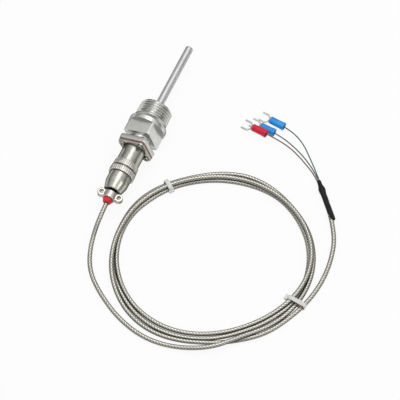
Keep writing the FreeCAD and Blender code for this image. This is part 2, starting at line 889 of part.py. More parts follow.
tail_points = [
    floor_point(121.0, -113.6, 1.5),
    floor_point(130.6, -100.0, 1.45),
    floor_point(140.2, -76.2, 1.5),
    floor_point(141.4, -51.0, 1.45),
    floor_point(134.4, -26.3, 2.35),
    cable_end,
]
tube("cable_tail", tail_points, size("cable_radius"))


# A fork terminal and its insulating sleeve, from the wire end to the fork
def terminal(name, point, heading):
    heading.normalize()
    place = headed(point, heading)
    fork = axial_body(f"fork_terminal_{name}")
    plate = new_sketch(fork, "XZ_Plane", "barrel_outer - fork_sheet")
    draw_outline(plate, [
        ("-barrel_outer", "sleeve_length + 0.1"),
        ("barrel_outer", "sleeve_length + 0.1"),
        ("barrel_outer", "sleeve_length + 1"),
        ("half_fork", "sleeve_length + 2.4"),
        ("half_fork", "fork_end - 0.6"),
        ("half_fork - 0.5", "fork_end"),
        ("-half_fork + 0.5", "fork_end"),
        ("-half_fork", "fork_end - 0.6"),
        ("-half_fork", "sleeve_length + 2.4"),
        ("-barrel_outer", "sleeve_length + 1"),
    ])
    extrude(fork, "Pad", plate, "fork_sheet")
    revolve(fork, [
        ("crimp_bore", "crimp_start"),
        ("barrel_outer", "crimp_start"),
        ("barrel_outer", "sleeve_length + 0.8"),
        ("crimp_bore", "sleeve_length + 0.8"),
    ])
    slot = new_sketch(fork, "XZ_Plane", "barrel_outer")
    draw_circle(slot, "0", "sleeve_length + 1.3 + half_slot", "half_slot")
    extrude(fork, "Pocket", slot, "fork_sheet")
    mouth = new_sketch(fork, "XZ_Plane", "barrel_outer")
    draw_outline(mouth, [
        ("-half_slot", "sleeve_length + 1.3 + half_slot"),
        ("half_slot", "sleeve_length + 1.3 + half_slot"),
        ("half_slot", "fork_end + 1"),
        ("-half_slot", "fork_end + 1"),
    ])
    extrude(fork, "Pocket", mouth, "fork_sheet")
    fork.Placement = place
    sleeve = axial_body(f"terminal_sleeve_{name}")
    revolve(sleeve, [
        ("wire_hole", "0"),
        ("sleeve_radius + sleeve_flare", "0"),
        ("sleeve_radius", "sleeve_length"),
        ("sleeve_inner", "sleeve_length"),
        ("sleeve_inner", "crimp_start - cable_gap"),
        ("wire_hole", "crimp_start - cable_gap"),
    ])
    sleeve.Placement = place
    return point + heading * (size("crimp_start") + 1.0)


inside_a = terminal("blue_a", floor_point(75.45, 26.3, 2.7), FreeCAD.Vector(-9.8, 0.9, 0))
inside_b = terminal("blue_b", floor_point(71.75, 19.7, 2.7), FreeCAD.Vector(-9.8, 0.9, 0))
inside_r = terminal("red", floor_point(68.0, 15.55, 5.4), FreeCAD.Vector(-10.0, 1.1, -0.7))

# Lead wires from the cable's end through the heat shrink to the terminals
across = shrink_heading.cross(FreeCAD.Vector(0, 0, 1))
upward = FreeCAD.Vector(0, 0, 1)
start_a = cable_end + across * 0.5 - upward * 0.3
start_b = cable_end + upward * 0.58
start_r = cable_end - across * 0.5 - upward * 0.3
run = shrink_heading * 12.6
tube("lead_wire_a", [
    start_a,
    start_a + run,
    floor_point(100.0, 12.4, 0.9),
    floor_point(89.6, 22.3, 0.7),
    floor_point(78.84, 25.99, 2.7),
    inside_a,
], size("wire_radius"))
tube("lead_wire_b", [
    start_b,
    start_b + run,
    floor_point(98.2, 11.0, 0.8),
    floor_point(86.4, 16.9, 0.6),
    floor_point(75.14, 19.39, 2.7),
    inside_b,
], size("wire_radius"))
tube("lead_wire_red", [
    start_r,
    start_r + run,
    floor_point(97.6, 9.0, 0.6),
    floor_point(85.6, 14.8, 1.0),
    floor_point(74.05, 14.88, 5.82),
    inside_r,
], size("wire_radius"))

# Every piece has to be sound before it is written
doc.recompute()
for item in doc.Objects:
    if "Invalid" in item.State or "Error" in item.State:
        raise RuntimeError(f"{item.Label} did not build: {item.State}")
os.makedirs("parts", exist_ok=True)
for node in nodes:
    shape = node.Shape
    if shape.isNull() or not shape.isValid() or not shape.Solids:
        raise RuntimeError(f"{node.Label} has no sound solid")
    shape.exportStep(f"parts/{node.Label}.step")
    box = shape.BoundBox
    print(
        f"{node.Label}: {len(shape.Solids)} solid, {shape.Volume:.1f} mm3, "
        f"x {box.XMin:.1f} {box.XMax:.1f}, y {box.YMin:.1f} {box.YMax:.1f}, z {box.ZMin:.1f} {box.ZMax:.1f}"
    )
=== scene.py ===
import math

import bmesh
import bpy
import numpy as np
from mathutils import Matrix


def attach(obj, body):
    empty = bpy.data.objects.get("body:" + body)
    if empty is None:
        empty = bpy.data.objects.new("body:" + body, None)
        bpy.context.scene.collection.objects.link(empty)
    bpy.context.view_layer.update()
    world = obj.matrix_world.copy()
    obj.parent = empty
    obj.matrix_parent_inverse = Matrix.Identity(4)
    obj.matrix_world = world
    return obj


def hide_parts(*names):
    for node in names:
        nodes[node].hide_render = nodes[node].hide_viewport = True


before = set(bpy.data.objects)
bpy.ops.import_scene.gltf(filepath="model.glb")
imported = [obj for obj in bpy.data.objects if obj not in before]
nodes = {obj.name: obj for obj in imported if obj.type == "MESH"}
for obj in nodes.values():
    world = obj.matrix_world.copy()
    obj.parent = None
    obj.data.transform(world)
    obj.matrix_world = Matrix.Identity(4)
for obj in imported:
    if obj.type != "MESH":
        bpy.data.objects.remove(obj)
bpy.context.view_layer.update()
mm = 0.001  # sizes below are in millimetres, meshes in metres
floorLevel = -12.4  # the surface that the part lies on
fullTurn = 2 * math.pi
quarterTurn = math.pi / 2
xAxis, yAxis, zAxis = np.eye(3)
probeAxis = (np.zeros(3), xAxis, zAxis, -yAxis)  # origin, across, upward, rearward
print("frame loaded:", len(nodes), "nodes")


def unit(vectors):
    return vectors / np.linalg.norm(vectors, axis=-1, keepdims=True)


# Directions at an angle from across towards upward
def spoke(angle, across, upward):
    return np.cos(angle) * across + np.sin(angle) * upward


# An object at the origin, or turned to three axes and moved to a spot in metres
def addObject(name, data, placed=None):
    made = bpy.data.objects.new(name, data)
    bpy.context.scene.collection.objects.link(made)
    if placed:
        matrix = np.eye(4)
        matrix[:3, :] = np.c_[placed]
        made.matrix_world = Matrix(matrix.tolist())
    return made


# Camera: it stands where the photograph was taken from
cameraSpec = dict(
    azimuth=24.9, elevation=61.7, distance=2500.0, pixelsPerMm=1.6, imageSize=400, sensor=36.0, clipEnd=20.0,
    originPixel=(157.3, 108.15))  # the frame's origin in the photograph


def makeCamera(azimuth, elevation, distance, pixelsPerMm, imageSize, sensor, clipEnd, originPixel):
    azimuth, elevation = math.radians(azimuth), math.radians(elevation)
    right = spoke(azimuth, xAxis, yAxis)
    forward = spoke(elevation, spoke(azimuth, yAxis, -xAxis), -zAxis)
    up = np.cross(right, forward)
    offCentre = (imageSize / 2 - np.array(originPixel)) / pixelsPerMm
    spot = right * offCentre[0] - up * offCentre[1] - forward * distance
    data = bpy.data.cameras.new("camera")
    data.sensor_width = sensor
    data.lens = sensor * pixelsPerMm * distance / imageSize
    data.clip_end = clipEnd
    bpy.context.scene.camera = addObject("camera", data, (right, up, -forward, spot * mm))


makeCamera(**cameraSpec)
print("camera placed")


# Quads between neighbouring rows and columns of a grid of points, whose columns close to a ring; caps close
# the first and last row
def skin(grid, wrapRows=False, caps=False, uv=None):
    rows, columns = grid.shape[:2]
    index = np.arange(rows * columns).reshape(rows, columns)
    r, c = np.meshgrid(np.arange(rows - (not wrapRows)), np.arange(columns), indexing="ij")
    below, beside = (r + 1) % rows, (c + 1) % columns
    quads = np.stack([index[r, c], index[r, beside], index[below, beside], index[below, c]], -1)
    faces = quads.reshape(-1, 4).tolist()
    corners = None
    if uv is not None:
        corners = np.stack([uv[r, c], uv[r, c + 1], uv[r + 1, c + 1], uv[r + 1, c]], 2).reshape(-1, 2)
    if caps:
        faces += [index[0, ::-1].tolist(), index[-1].tolist()]
        if uv is not None:
            corners = np.concatenate([corners, uv[0, :columns][::-1], uv[-1, :columns]])
    return {"points": grid.reshape(-1, 3), "faces": faces, "corners": corners}


# One object from closed shells: doubles merged, faces outward, smooth up to the sharp angle
def makePiece(name, shells, slotName, *stands, body="plug_and_cable", sharp=32):
    points = np.concatenate([shell["points"] for shell in shells]) * mm
    faces, offset = [], 0
    for shell in shells:
        faces += [[corner + offset for corner in face] for face in shell["faces"]]
        offset += len(shell["points"])
    mesh = bpy.data.meshes.new(name)
    mesh.from_pydata(points.tolist(), [], faces)
    corners = shells[0]["corners"]  # only a tube has them, and it is a piece's one shell
    if corners is not None:
        mesh.uv_layers.new(name="alongAround").data.foreach_set("uv", corners.ravel())
    work = bmesh.new()
    work.from_mesh(mesh)
    bmesh.ops.remove_doubles(work, verts=work.verts, dist=1e-7)
    bmesh.ops.recalc_face_normals(work, faces=work.faces)
    work.to_mesh(mesh)
    work.free()
    mesh.shade_smooth()
    mesh.set_sharp_from_angle(angle=math.radians(sharp))
    mesh.materials.append(finishes[slotName])
    made = addObject(name, mesh)
    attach(made, body)
    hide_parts(*stands)
    return made


def anglesAround(count, extra=()):
    even = np.linspace(0, fullTurn, count, endpoint=False)
    return np.unique(np.concatenate([even, np.mod(extra, fullTurn)]))


# A point stands its height along the axis and its radius from it, at each angle
def turned(heights, radii, angles, place=probeAxis):
    origin, across, upward, ahead = place
    spokes = spoke(angles[:, None], across, upward)
    heights = np.asarray(heights, float)
    radii = np.asarray(radii, float).reshape(len(heights), -1)
    return origin + heights[:, None, None] * ahead + radii[:, :, None] * spokes


# A section with the profile's radius at every angle
def roundSection(profile, angles):
    profile = np.array(profile, float)
    return profile[:, 0], np.repeat(profile[:, 1:], len(angles), 1)


# Sections, each its stations and the radii at every angle, joined into one closed loop
def turnedShell(sections, angles, place=probeAxis):
    heights = np.concatenate([stations for stations, reach in sections])
    radii = np.concatenate([reach for stations, reach in sections])
    return skin(turned(heights, radii, angles, place), wrapRows=True)


# Each corner (along, out, size) of a profile becomes a quadratic curve that starts and ends that far from it
def softened(corners, closed=False, steps=5, edgeShare=0.48):
    spots = np.array([corner[:2] for corner in corners], float)
    count = len(spots)
    share = np.linspace(0, 1, steps)[:, None]
    out = []
    for number, (here, size) in enumerate(zip(spots, [corner[2] for corner in corners])):
        if size == 0 or (not closed and number in (0, count - 1)):
            out.append(here[None])
            continue
        before, after = spots[number - 1] - here, spots[(number + 1) % count] - here
        lengths = np.linalg.norm(before), np.linalg.norm(after)
        reach = min(size, edgeShare * lengths[0], edgeShare * lengths[1])
        start = here + before / lengths[0] * reach
        end = here + after / lengths[1] * reach
        out.append((1 - share) ** 2 * start + 2 * share * (1 - share) * here + share ** 2 * end)
    return np.concatenate(out)


def lathe(corners, count, place=probeAxis, closed=True):
    profile = softened(corners, closed)
    return skin(turned(profile[:, 0], profile[:, 1], anglesAround(count), place), wrapRows=closed)


# Distance from the axis to a square with round corners along each angle: its flat, or else the corner's arc
def squareReach(angles, half, corner, roll):
    u, v = np.abs(np.cos(angles - roll)), np.abs(np.sin(angles - roll))
    core = half - corner
    onFlat = half / np.maximum(u, v)
    along = core * (u + v)
    onArc = along + np.sqrt(np.maximum(along ** 2 - 2 * core ** 2 + corner ** 2, 0))
    return np.where(onFlat * np.minimum(u, v) <= core, onFlat, onArc)


# Closed outline of a rectangle with round corners, as points
def rectangleOutline(halfA, halfB, corner, steps=6):
    quarters = []
    for quarter, (a, b) in enumerate(((1, 1), (-1, 1), (-1, -1), (1, -1))):
        turn = np.linspace(0, quarterTurn, steps) + quarter * quarterTurn
        quarters.append(np.c_[a * (halfA - corner) + corner * np.cos(turn),
                              b * (halfB - corner) + corner * np.sin(turn)])
    return np.concatenate(quarters)


# A block with round edges: rows of the rectangle's outline, drawn in near its two ends
def block(centre, axes, halves, edge, steps=5, cornerShare=0.6, leastCorner=0.02):
    across, deep, tall = axes
    half = halves[2] - edge * (1 - np.sin(np.linspace(0, quarterTurn, steps)))
    heights = np.sort(np.concatenate([-half, half]))
    rise = np.maximum(np.abs(heights) - halves[2] + edge, 0)
    inset = edge - np.sqrt(np.maximum(edge ** 2 - rise ** 2, 0))
    corners = np.maximum(edge - cornerShare * inset, leastCorner)
    outline = np.stack([rectangleOutline(halves[0] - i, halves[1] - i, corner)
                        for i, corner in zip(inset, corners)])
    grid = centre + outline[..., :1] * across + outline[..., 1:] * deep + heights[:, None, None] * tall
    return skin(grid, caps=True)


# Shader maths: a socket that takes part in Python expressions
class Field:
    def __init__(self, tree, socket=None):
        self.tree = tree
        self.socket = socket

    def node(self, kind, settings=None, inputs=None, output=0):
        made = self.tree.nodes.new(kind)
        for name, value in (settings or {}).items():
            setattr(made, name, value)
        for name, value in (inputs or {}).items():
            if isinstance(value, Field):
                self.tree.links.new(value.socket, made.inputs[name])
            else:
                made.inputs[name].default_value = value
        return Field(self.tree, made.outputs[output])

    def maths(self, operation, *others):
        return self.node("ShaderNodeMath", {"operation": operation}, dict(enumerate((self, *others))))

    def swapped(self, operation, other):
        return self.node("ShaderNodeMath", {"operation": operation}, {0: other, 1: self})

    def __add__(self, other):
        return self.maths("ADD", other)

    def __radd__(self, other):
        return self.swapped("ADD", other)

    def __sub__(self, other):
        return self.maths("SUBTRACT", other)

    def __rsub__(self, other):
        return self.swapped("SUBTRACT", other)

    def __mul__(self, other):
        return self.maths("MULTIPLY", other)

    def __rmul__(self, other):
        return self.swapped("MULTIPLY", other)

    def __truediv__(self, other):
        return self.maths("DIVIDE", other)

    def __pow__(self, other):
        return self.maths("POWER", other)

    def part(self, letter):
        return self.node("ShaderNodeSeparateXYZ", None, {0: self}, letter)

    def scaled(self, x, y, z):
        return self.node("ShaderNodeVectorMath", {"operation": "MULTIPLY"}, {0: self, 1: (x, y, z)})

    def between(self, low, high):
        return self.node("ShaderNodeMapRange", {"clamp": True}, {0: self, 1: low, 2: high, 3: 0.0, 4: 1.0})

    def spread(self, low, high):
        return low + self * (high - low)

    def noise(self, scale, detail=3.0, rough=0.55):
        inputs = {"Vector": self, "Scale": scale, "Detail": detail, "Roughness": rough}
        return self.node("ShaderNodeTexNoise", None, inputs, "Fac")

    def colours(self, low, high):
        settings = {"data_type": "RGBA", "clamp_factor": True}
        low, high = (end if isinstance(end, Field) else (*end, 1.0) for end in (low, high))
        return self.node("ShaderNodeMix", settings, {0: self, 6: low, 7: high}, 2)


# A material with one shader and its even values; the field is a spot on the piece, and adds the other nodes
def newFinish(name, even):
    material = bpy.data.materials.new(name)
    material.use_nodes = True
    tree = material.node_tree
    tree.nodes.clear()
    out = tree.nodes.new("ShaderNodeOutputMaterial")
    shader = tree.nodes.new("ShaderNodeBsdfPrincipled")
    tree.links.new(shader.outputs[0], out.inputs["Surface"])
    for socket, value in even.items():
        shader.inputs[socket].default_value = value
    return material, shader, Field(tree).node("ShaderNodeTexCoord", output="Object")


def feed(shader, fields):
    for socket, field in fields.items():
        field.tree.links.new(field.socket, shader.inputs[socket])


def raised(shader, height, depth, strength=1.0):
    inputs = {"Height": height, "Distance": depth * mm, "Strength": strength}
    feed(shader, {"Normal": height.node("ShaderNodeBump", None, inputs)})


# Distance of a spot from the probe's axis, in millimetres
def axisReach(spot):
    x, z = spot.part("X"), spot.part("Z")
    return (x * x + z * z) ** 0.5 / mm


# Station of a spot behind the frame's origin, in millimetres
def stationOf(spot):
    return spot.part("Y") / -mm


# 1 between two stations, 0 elsewhere, with a soft edge inside each
def stretch(spot, start, end, edge=0.3):
    station = stationOf(spot)
    return station.between(start, start + edge) * (1 - station.between(end - edge, end))


middle = (0.3, 0.7)  # most values of a noise lie between these


# Metal with fine tool marks: noise drawn out square to the marks' run, and slow stains over it; some
# stretches are blasted, and painted shade darkens a thread's roots or a groove, below a radius that can
# taper
def metalFinish(name, grain, stain, rough, dark, light, depth, rim=0.0, markShare=0.5, markStrength=0.6,
                blasted=(), matt=None, mattShare=0.6, mattRough=0.06, sunk=None, paintedShade=None, rootShare=0.3,
                faceEdge=0.1):
    material, shader, spot = newFinish(name, {"Metallic": 1.0, "Specular Tint": (rim, rim, rim, 1.0)})
    marks = spot.scaled(*grain).noise(1.0, 4.0, 0.6)
    stains = spot.noise(stain)
    tone = (marks * markShare + stains * (1 - markShare)).between(*middle)
    roughness = tone.spread(*rough)
    colour = tone.colours(dark, light)
    for start, end in blasted:
        inside = stretch(spot, start, end)
        colour = (inside * mattShare).colours(colour, matt)
        roughness = roughness + inside * mattRough
    # painted shade: darker in a thread's roots or in a groove, where shade falls
    if sunk:
        start, end, radius, taper, drop = sunk
        crest = radius + (stationOf(spot) - start) * taper
        below = (crest - axisReach(spot)).between(rootShare * drop, drop)
        colour = (below * stretch(spot, start + faceEdge, end)).colours(colour, paintedShade)
    feed(shader, {"Base Color": colour, "Roughness": roughness})
    raised(shader, marks, depth, markStrength)
    return material


# Moulded plastic or rubber: colour that drifts slowly, and a fine bloom on the surface; painted shadow
# darkens a neck
def mouldedFinish(name, cloud, bloom, rough, dark, light, depth=0.01, bloomStrength=0.5, neck=None,
                  paintedShade=None, even=None):
    material, shader, spot = newFinish(name, {"IOR": 1.48, **(even or {})})
    clouds = spot.noise(cloud, 2.0).between(*middle)
    haze = spot.noise(bloom, 3.0, 0.65)
    colour = clouds.colours(dark, light)
    # painted shadow: the neck goes to a near-black colour
    if neck:
        colour = stretch(spot, *neck).colours(colour, paintedShade)
    feed(shader, {"Base Color": colour, "Roughness": haze.spread(*rough)})
    raised(shader, haze, depth, bloomStrength)
    return material


# Braid: two families of ribbons wind round the cable and pass over and under each other in pairs; painted
# shade darkens the gaps between the ribbons, the underside, and what lies against another turn
def braidFinish(name, carriers, strands, lead, relief, wear, wearScale, rough, dark, light, metal, lines,
                undersideShadeRange, undersideShadeLevel, touching, depth):
    material, shader, spot = newFinish(name, {"Metallic": metal, "Specular Tint": (0.0, 0.0, 0.0, 1.0)})
    place = spot.node("ShaderNodeUVMap", {"uv_map": "alongAround"})
    along, around = place.part("X"), place.part("Y")
    wound = along * (1 / (lead * mm))
    ribbons = [(around + wound) * carriers, (around - wound) * carriers]
    offs = [(ribbon.maths("FRACT") - 0.5).maths("ABSOLUTE") * 2 for ribbon in ribbons]
    leftCrown, rightCrown = [1 - off * off for off in offs]
    left, right = ribbons
    numbers = left.maths("FLOOR") + right.maths("FLOOR")
    over = (numbers * 0.25).maths("FRACT").maths("LESS_THAN", 0.45)  # two of every four
    crown = over * leftCrown + (1 - over) * rightCrown
    wires = over * left + (1 - over) * right
    strand = (wires * (fullTurn * strands)).maths("SINE") * 0.5 + 0.5
    height = crown * relief[0] + leftCrown * rightCrown * relief[1] + strand * crown * relief[2]
    # painted shade: the gaps between the ribbons go towards the dark colour by their depth
    weaveGapShade = (height + spot.noise(wearScale) * wear - wear / 2).between(*lines)
    # painted shade: the cable's underside is darker
    upward = (around * fullTurn).maths("SINE").between(*undersideShadeRange)
    # painted shade: darker where the skin lies against another turn
    clear = spot.node("ShaderNodeAttribute", {"attribute_name": "clearOfTurns"}, output="Fac")
    paintedLightShare = weaveGapShade * clear.between(*touching) * upward.spread(undersideShadeLevel, 1)
    feed(shader, {"Base Color": paintedLightShare.colours(dark, light), "Roughness": (1 - paintedLightShare).spread(*rough)})
    raised(shader, height, depth)
    return material


# One finish for each slot; sunk gives start, end, crest radius, taper and depth of painted shade in roots or
# a groove
metals = {
    "sheath_steel": dict(
        name="satinTube", grain=(2600, 40, 2600), stain=60, markShare=0.6, rough=(0.40, 0.52), rim=0.1,
        dark=(0.56, 0.56, 0.56), light=(0.78, 0.78, 0.78), depth=0.006),
    "fitting_steel": dict(
        name="turnedSteel", grain=(90, 3200, 90), stain=120, markShare=0.55, rough=(0.24, 0.36),
        dark=(0.61, 0.61, 0.585), light=(0.87, 0.87, 0.84), depth=0.007,
        # sunk and its colour paint shade into the thread's roots
        sunk=(0.0, 10.7, 10.32, 1 / 32, 1.9), paintedShade=(0.16, 0.16, 0.13)),
    "connector_metal": dict(
        name="platedShell", grain=(60, 2600, 60), stain=140, rough=(0.21, 0.33),
        dark=(0.44, 0.44, 0.39), light=(0.65, 0.65, 0.585), depth=0.003,
        blasted=[(44.3, 53.6), (66.3, 71.4)], matt=(0.83, 0.80, 0.735),
        # sunk and its colour paint shade into the groove between the knurled rings
        sunk=(48.5, 49.9, 8.25, 0.0, 0.4), paintedShade=(0.09, 0.085, 0.075)),
    "screw_steel": dict(
        name="platedScrew", grain=(700, 700, 700), stain=300, rough=(0.12, 0.26),
        dark=(0.16, 0.145, 0.125), light=(0.60, 0.57, 0.50), depth=0.004),
    "contact_brass": dict(
        name="contactBrass", grain=(300, 2400, 300), stain=200, rough=(0.2, 0.36), rim=0.5,
        dark=(0.58, 0.42, 0.16), light=(0.80, 0.63, 0.30), depth=0.004),
    "lead_metal": dict(
        name="drawnLead", grain=(2000, 100, 2000), stain=300, rough=(0.25, 0.4), rim=0.5,
        dark=(0.55, 0.55, 0.54), light=(0.76, 0.76, 0.74), depth=0.003),
    "terminal_tin": dict(
        name="tinnedSheet", grain=(900, 900, 900), stain=260, rough=(0.34, 0.5), rim=0.3,
        dark=(0.38, 0.38, 0.36), light=(0.58, 0.58, 0.55), depth=0.006),
}
moulded = {
    "element_ceramic": dict(
        name="firedCeramic", cloud=400, bloom=1500, rough=(0.4, 0.7), dark=(0.74, 0.72, 0.66),
        light=(0.86, 0.85, 0.80)),
    "insert_plastic": dict(
        name="blackInsert", cloud=300, bloom=1800, rough=(0.35, 0.6), dark=(0.012, 0.012, 0.013),
        light=(0.03, 0.03, 0.032)),
    "gasket_rubber": dict(
        name="redGasket", cloud=260, bloom=2200, rough=(0.5, 0.8), dark=(0.19, 0.07, 0.075),
        light=(0.31, 0.13, 0.135), depth=0.02),
    "bush_rubber": dict(
        name="redBush", cloud=300, bloom=1600, rough=(0.35, 0.6), dark=(0.58, 0.012, 0.024),
        # the neck in the slit between backshell and strap is painted near black as shadow
        light=(0.78, 0.03, 0.046), depth=0.02, neck=(64.0, 67.2), paintedShade=(0.008, 0.007, 0.007)),
    "tie_nylon": dict(
        name="naturalNylon", cloud=200, bloom=900, rough=(0.3, 0.5), dark=(0.69, 0.69, 0.66),
        light=(0.81, 0.81, 0.77), even={"Subsurface Weight": 0.15, "Subsurface Scale": 0.001}),
    "shrink_plastic": dict(
        name="blackShrink", cloud=220, bloom=700, rough=(0.42, 0.7), dark=(0.006, 0.006, 0.007),
        light=(0.016, 0.016, 0.018), depth=0.05, even={"Specular IOR Level": 0.25}),
    "wire_grey": dict(
        name="greyGreenWire", cloud=500, bloom=1500, rough=(0.3, 0.5), dark=(0.05, 0.10, 0.09),
        light=(0.10, 0.17, 0.15)),
    "wire_red": dict(
        name="redBrownWire", cloud=500, bloom=1500, rough=(0.3, 0.5), dark=(0.15, 0.06, 0.05),
        light=(0.26, 0.11, 0.09)),
    "sleeve_blue": dict(
        name="blueSleeve", cloud=220, bloom=1300, rough=(0.28, 0.42), dark=(0.017, 0.265, 0.71),
        light=(0.026, 0.385, 0.87)),
    "sleeve_red": dict(
        name="redSleeve", cloud=220, bloom=1300, rough=(0.28, 0.42), dark=(0.60, 0.006, 0.03),
        light=(0.78, 0.012, 0.048)),
}
braidSpec = dict(
    name="wovenBraid", carriers=4, strands=4, lead=7.8, rough=(0.30, 0.5), metal=0.9,
    relief=(0.45, 0.45, 0.1),  # share of the ribbons' crowns, of their crossings and of the strands
    # dark is painted shade in the weave's gaps, under the cable and between touching turns
    wear=0.3, wearScale=900, dark=(0.03, 0.029, 0.024), light=(0.70, 0.685, 0.61), lines=(-0.35, 0.85),
    # painted shade under the cable, and where it lies against another turn
    undersideShadeRange=(-0.3, 1.0), undersideShadeLevel=0.2, touching=(0.05, 0.7), depth=0.07)
finishes = {slotName: metalFinish(**spec) for slotName, spec in metals.items()}
finishes.update({slotName: mouldedFinish(**spec) for slotName, spec in moulded.items()})
finishes["cable_braid"] = braidFinish(**braidSpec)
print("finishes made:", len(finishes))

# The cable: one length from the plug through the coil to the heat shrink
cableSpec = dict(
    diameter=2.8, sides=20,
    steps=14,  # points of the spline for each control point
    sameTurn=20,  # radii along the cable within which it doesn't count as another turn
    inShrink=18.0,  # how far it reaches into the heat shrink
    lead=[(0, -59.7, 12.4), (0, -80.2, 12.4), (0.8, -99.0, 1.5), (8.2, -116.2, 1.45), (22.8, -128.8, 1.5),
          (40.2, -138.8, 1.45), (59.5, -143.8, 1.5), (79.0, -141.6, 1.9), (98.5, -134.0, 4.6),
          (111.0, -119.6, 3.4)],
    tail=[(121.0, -113.6, 1.5), (130.6, -100.0, 1.45), (140.2, -76.2, 1.5), (141.4, -51.0, 1.45),
          (134.4, -26.3, 2.35)])
coilSpec = dict(
    centre=(73.4, -76.4), tilt=24.9,
    reach=(64.0, 58.2),  # half axes of the oval that the shares below are of
    step=12.0,  # degrees between control points
    firstTurn=[
        (300, 0.968), (345, 0.973), (380, 0.982), (400, 0.986), (420, 1.036), (436, 1.054), (450, 1.015),
        (465, 0.99), (495, 1.0), (517, 0.967), (545, 0.975), (560, 0.966), (580, 0.985), (595, 0.992),
        (610, 0.98)],
    secondTurn=[
        (630, 0.948), (645, 0.911), (669, 0.909), (684, 0.937), (705, 0.928), (720, 0.932), (745, 0.945),
        (770, 0.973), (795, 0.95), (825, 0.937), (850, 0.932), (868, 0.944), (885, 0.931), (915, 0.926),
        (940, 0.938), (957, 0.935), (972, 0.92)],
    lastTurn=[
        (988, 0.893), (1004, 0.866), (1022, 0.86), (1034, 0.874), (1050, 0.915), (1060, 0.932),
        (1085, 0.962), (1125, 0.975), (1155, 0.985), (1185, 0.955), (1215, 0.968), (1236, 0.955),
        (1255, 0.967), (1280, 1.005), (1295, 1.028), (1312, 1.046), (1326, 1.032), (1340, 1.0),
        (1350, 0.99), (1365, 1.014)],
    upper=(1040, 1290),  # the stretch that lies on the other turns
    landing=(288, 318, 1.6),  # where it comes down from the lead's crossing, and from what height
    tieAngles=(116.4, 326.3), tieLift=0.5, tieSpread=12)
shrinkSpec = dict(
    start=(129.8, -21.1, 2.35), heading=(-0.666, 0.746, 0.0), length=28.7, sides=48, rows=70)


def onFloor(x, y, height):
    return np.array([x, y, floorLevel + height])


# Length of a line from its start to each of its points
def lineLength(line):
    return np.r_[0, np.cumsum(np.linalg.norm(np.diff(line, axis=0), axis=1))]


# Points of a smooth NURBS spline that has the route's points as its control points
def routeLine(name, controls, steps):
    data = bpy.data.curves.new(name + "Route", "CURVE")
    data.dimensions = "3D"
    spline = data.splines.new("NURBS")
    spline.points.add(len(controls) - 1)
    spline.points.foreach_set("co", np.c_[controls, np.ones(len(controls))].ravel())
    spline.order_u = 3
    spline.use_endpoint_u = True
    spline.resolution_u = steps
    holder = bpy.data.objects.new(name + "Route", data)
    drawn = bpy.data.meshes.new_from_object(holder)
    line = np.empty(3 * len(drawn.vertices))
    drawn.vertices.foreach_get("co", line)
    bpy.data.objects.remove(holder)
    bpy.data.curves.remove(data)
    bpy.data.meshes.remove(drawn)
    line = line.reshape(-1, 3)
    apart = np.diff(lineLength(line)) > 1e-4  # doubled points are left out
    return line[np.r_[True, apart]]


# A circle square to the line at each of its points, with one spoke kept level
def tube(line, radius, sides):
    ahead = unit(np.gradient(line, axis=0))
    side = unit(np.cross(ahead, zAxis))
    top = np.cross(side, ahead)
    spokes = spoke(anglesAround(sides)[:, None], side[:, None], top[:, None])
    around = np.linspace(0, 1, sides + 1)
    uv = np.stack(np.meshgrid(lineLength(line) * mm, around, indexing="ij"), -1)
    return skin(line[:, None, :] + radius * spokes, caps=True, uv=uv)


# The coil: an oval whose size drifts along three turns; the last lies on the others where it crosses them
def coilControls(diameter, centre, tilt, reach, step, firstTurn, secondTurn, lastTurn, upper, landing,
                 tieAngles, tieLift, tieSpread):
    stations, shares = np.array(firstTurn + secondTurn + lastTurn).T
    degrees = np.arange(stations[0], stations[-1] + 1, step)
    share = np.interp(degrees, stations, shares)
    turn, tilt = np.radians(degrees), math.radians(tilt)
    x, y = reach[0] * share * np.cos(turn), reach[1] * share * np.sin(turn)
    plan = np.c_[x * math.cos(tilt) - y * math.sin(tilt), x * math.sin(tilt) + y * math.cos(tilt)]
    plan += centre
    radius = diameter / 2
    height = np.full(len(degrees), radius)
    stacks = (degrees > upper[0]) & (degrees < upper[1])
    farOff = 9  # stands for no turn below
    for turns in (1, 2):
        below = np.interp(degrees - 360 * turns, stations, shares, left=farOff)
        apart = (share - below) * np.mean(reach)
        stacked = radius + np.sqrt(np.maximum(diameter ** 2 - apart ** 2, 0))
        height = np.where(stacks, np.maximum(height, stacked), height)
    height += np.interp(degrees, landing[:2], (landing[2], 0))
    for tie in tieAngles:
        away = (degrees - tie + 180) % 360 - 180
        height += tieLift * np.exp(-(away / tieSpread) ** 2)
    return np.c_[plan, floorLevel + height]


# Distance from each point of the cable's skin to the nearest other turn's surface, in radii, 1 at most
def clearOfTurns(points, line, radius, sameTurn):
    along = lineLength(line)
    station = np.repeat(along, len(points) // len(line))
    lots = 80  # points are measured in lots to save memory
    gaps = []
    for part in np.array_split(np.arange(len(points)), lots):
        apart = np.linalg.norm(points[part, None] - line, axis=2)
        apart[np.abs(station[part, None] - along) < sameTurn * radius] = np.inf
        gaps.append(apart.min(axis=1))
    return np.clip(np.concatenate(gaps) / radius - 1, 0, 1)


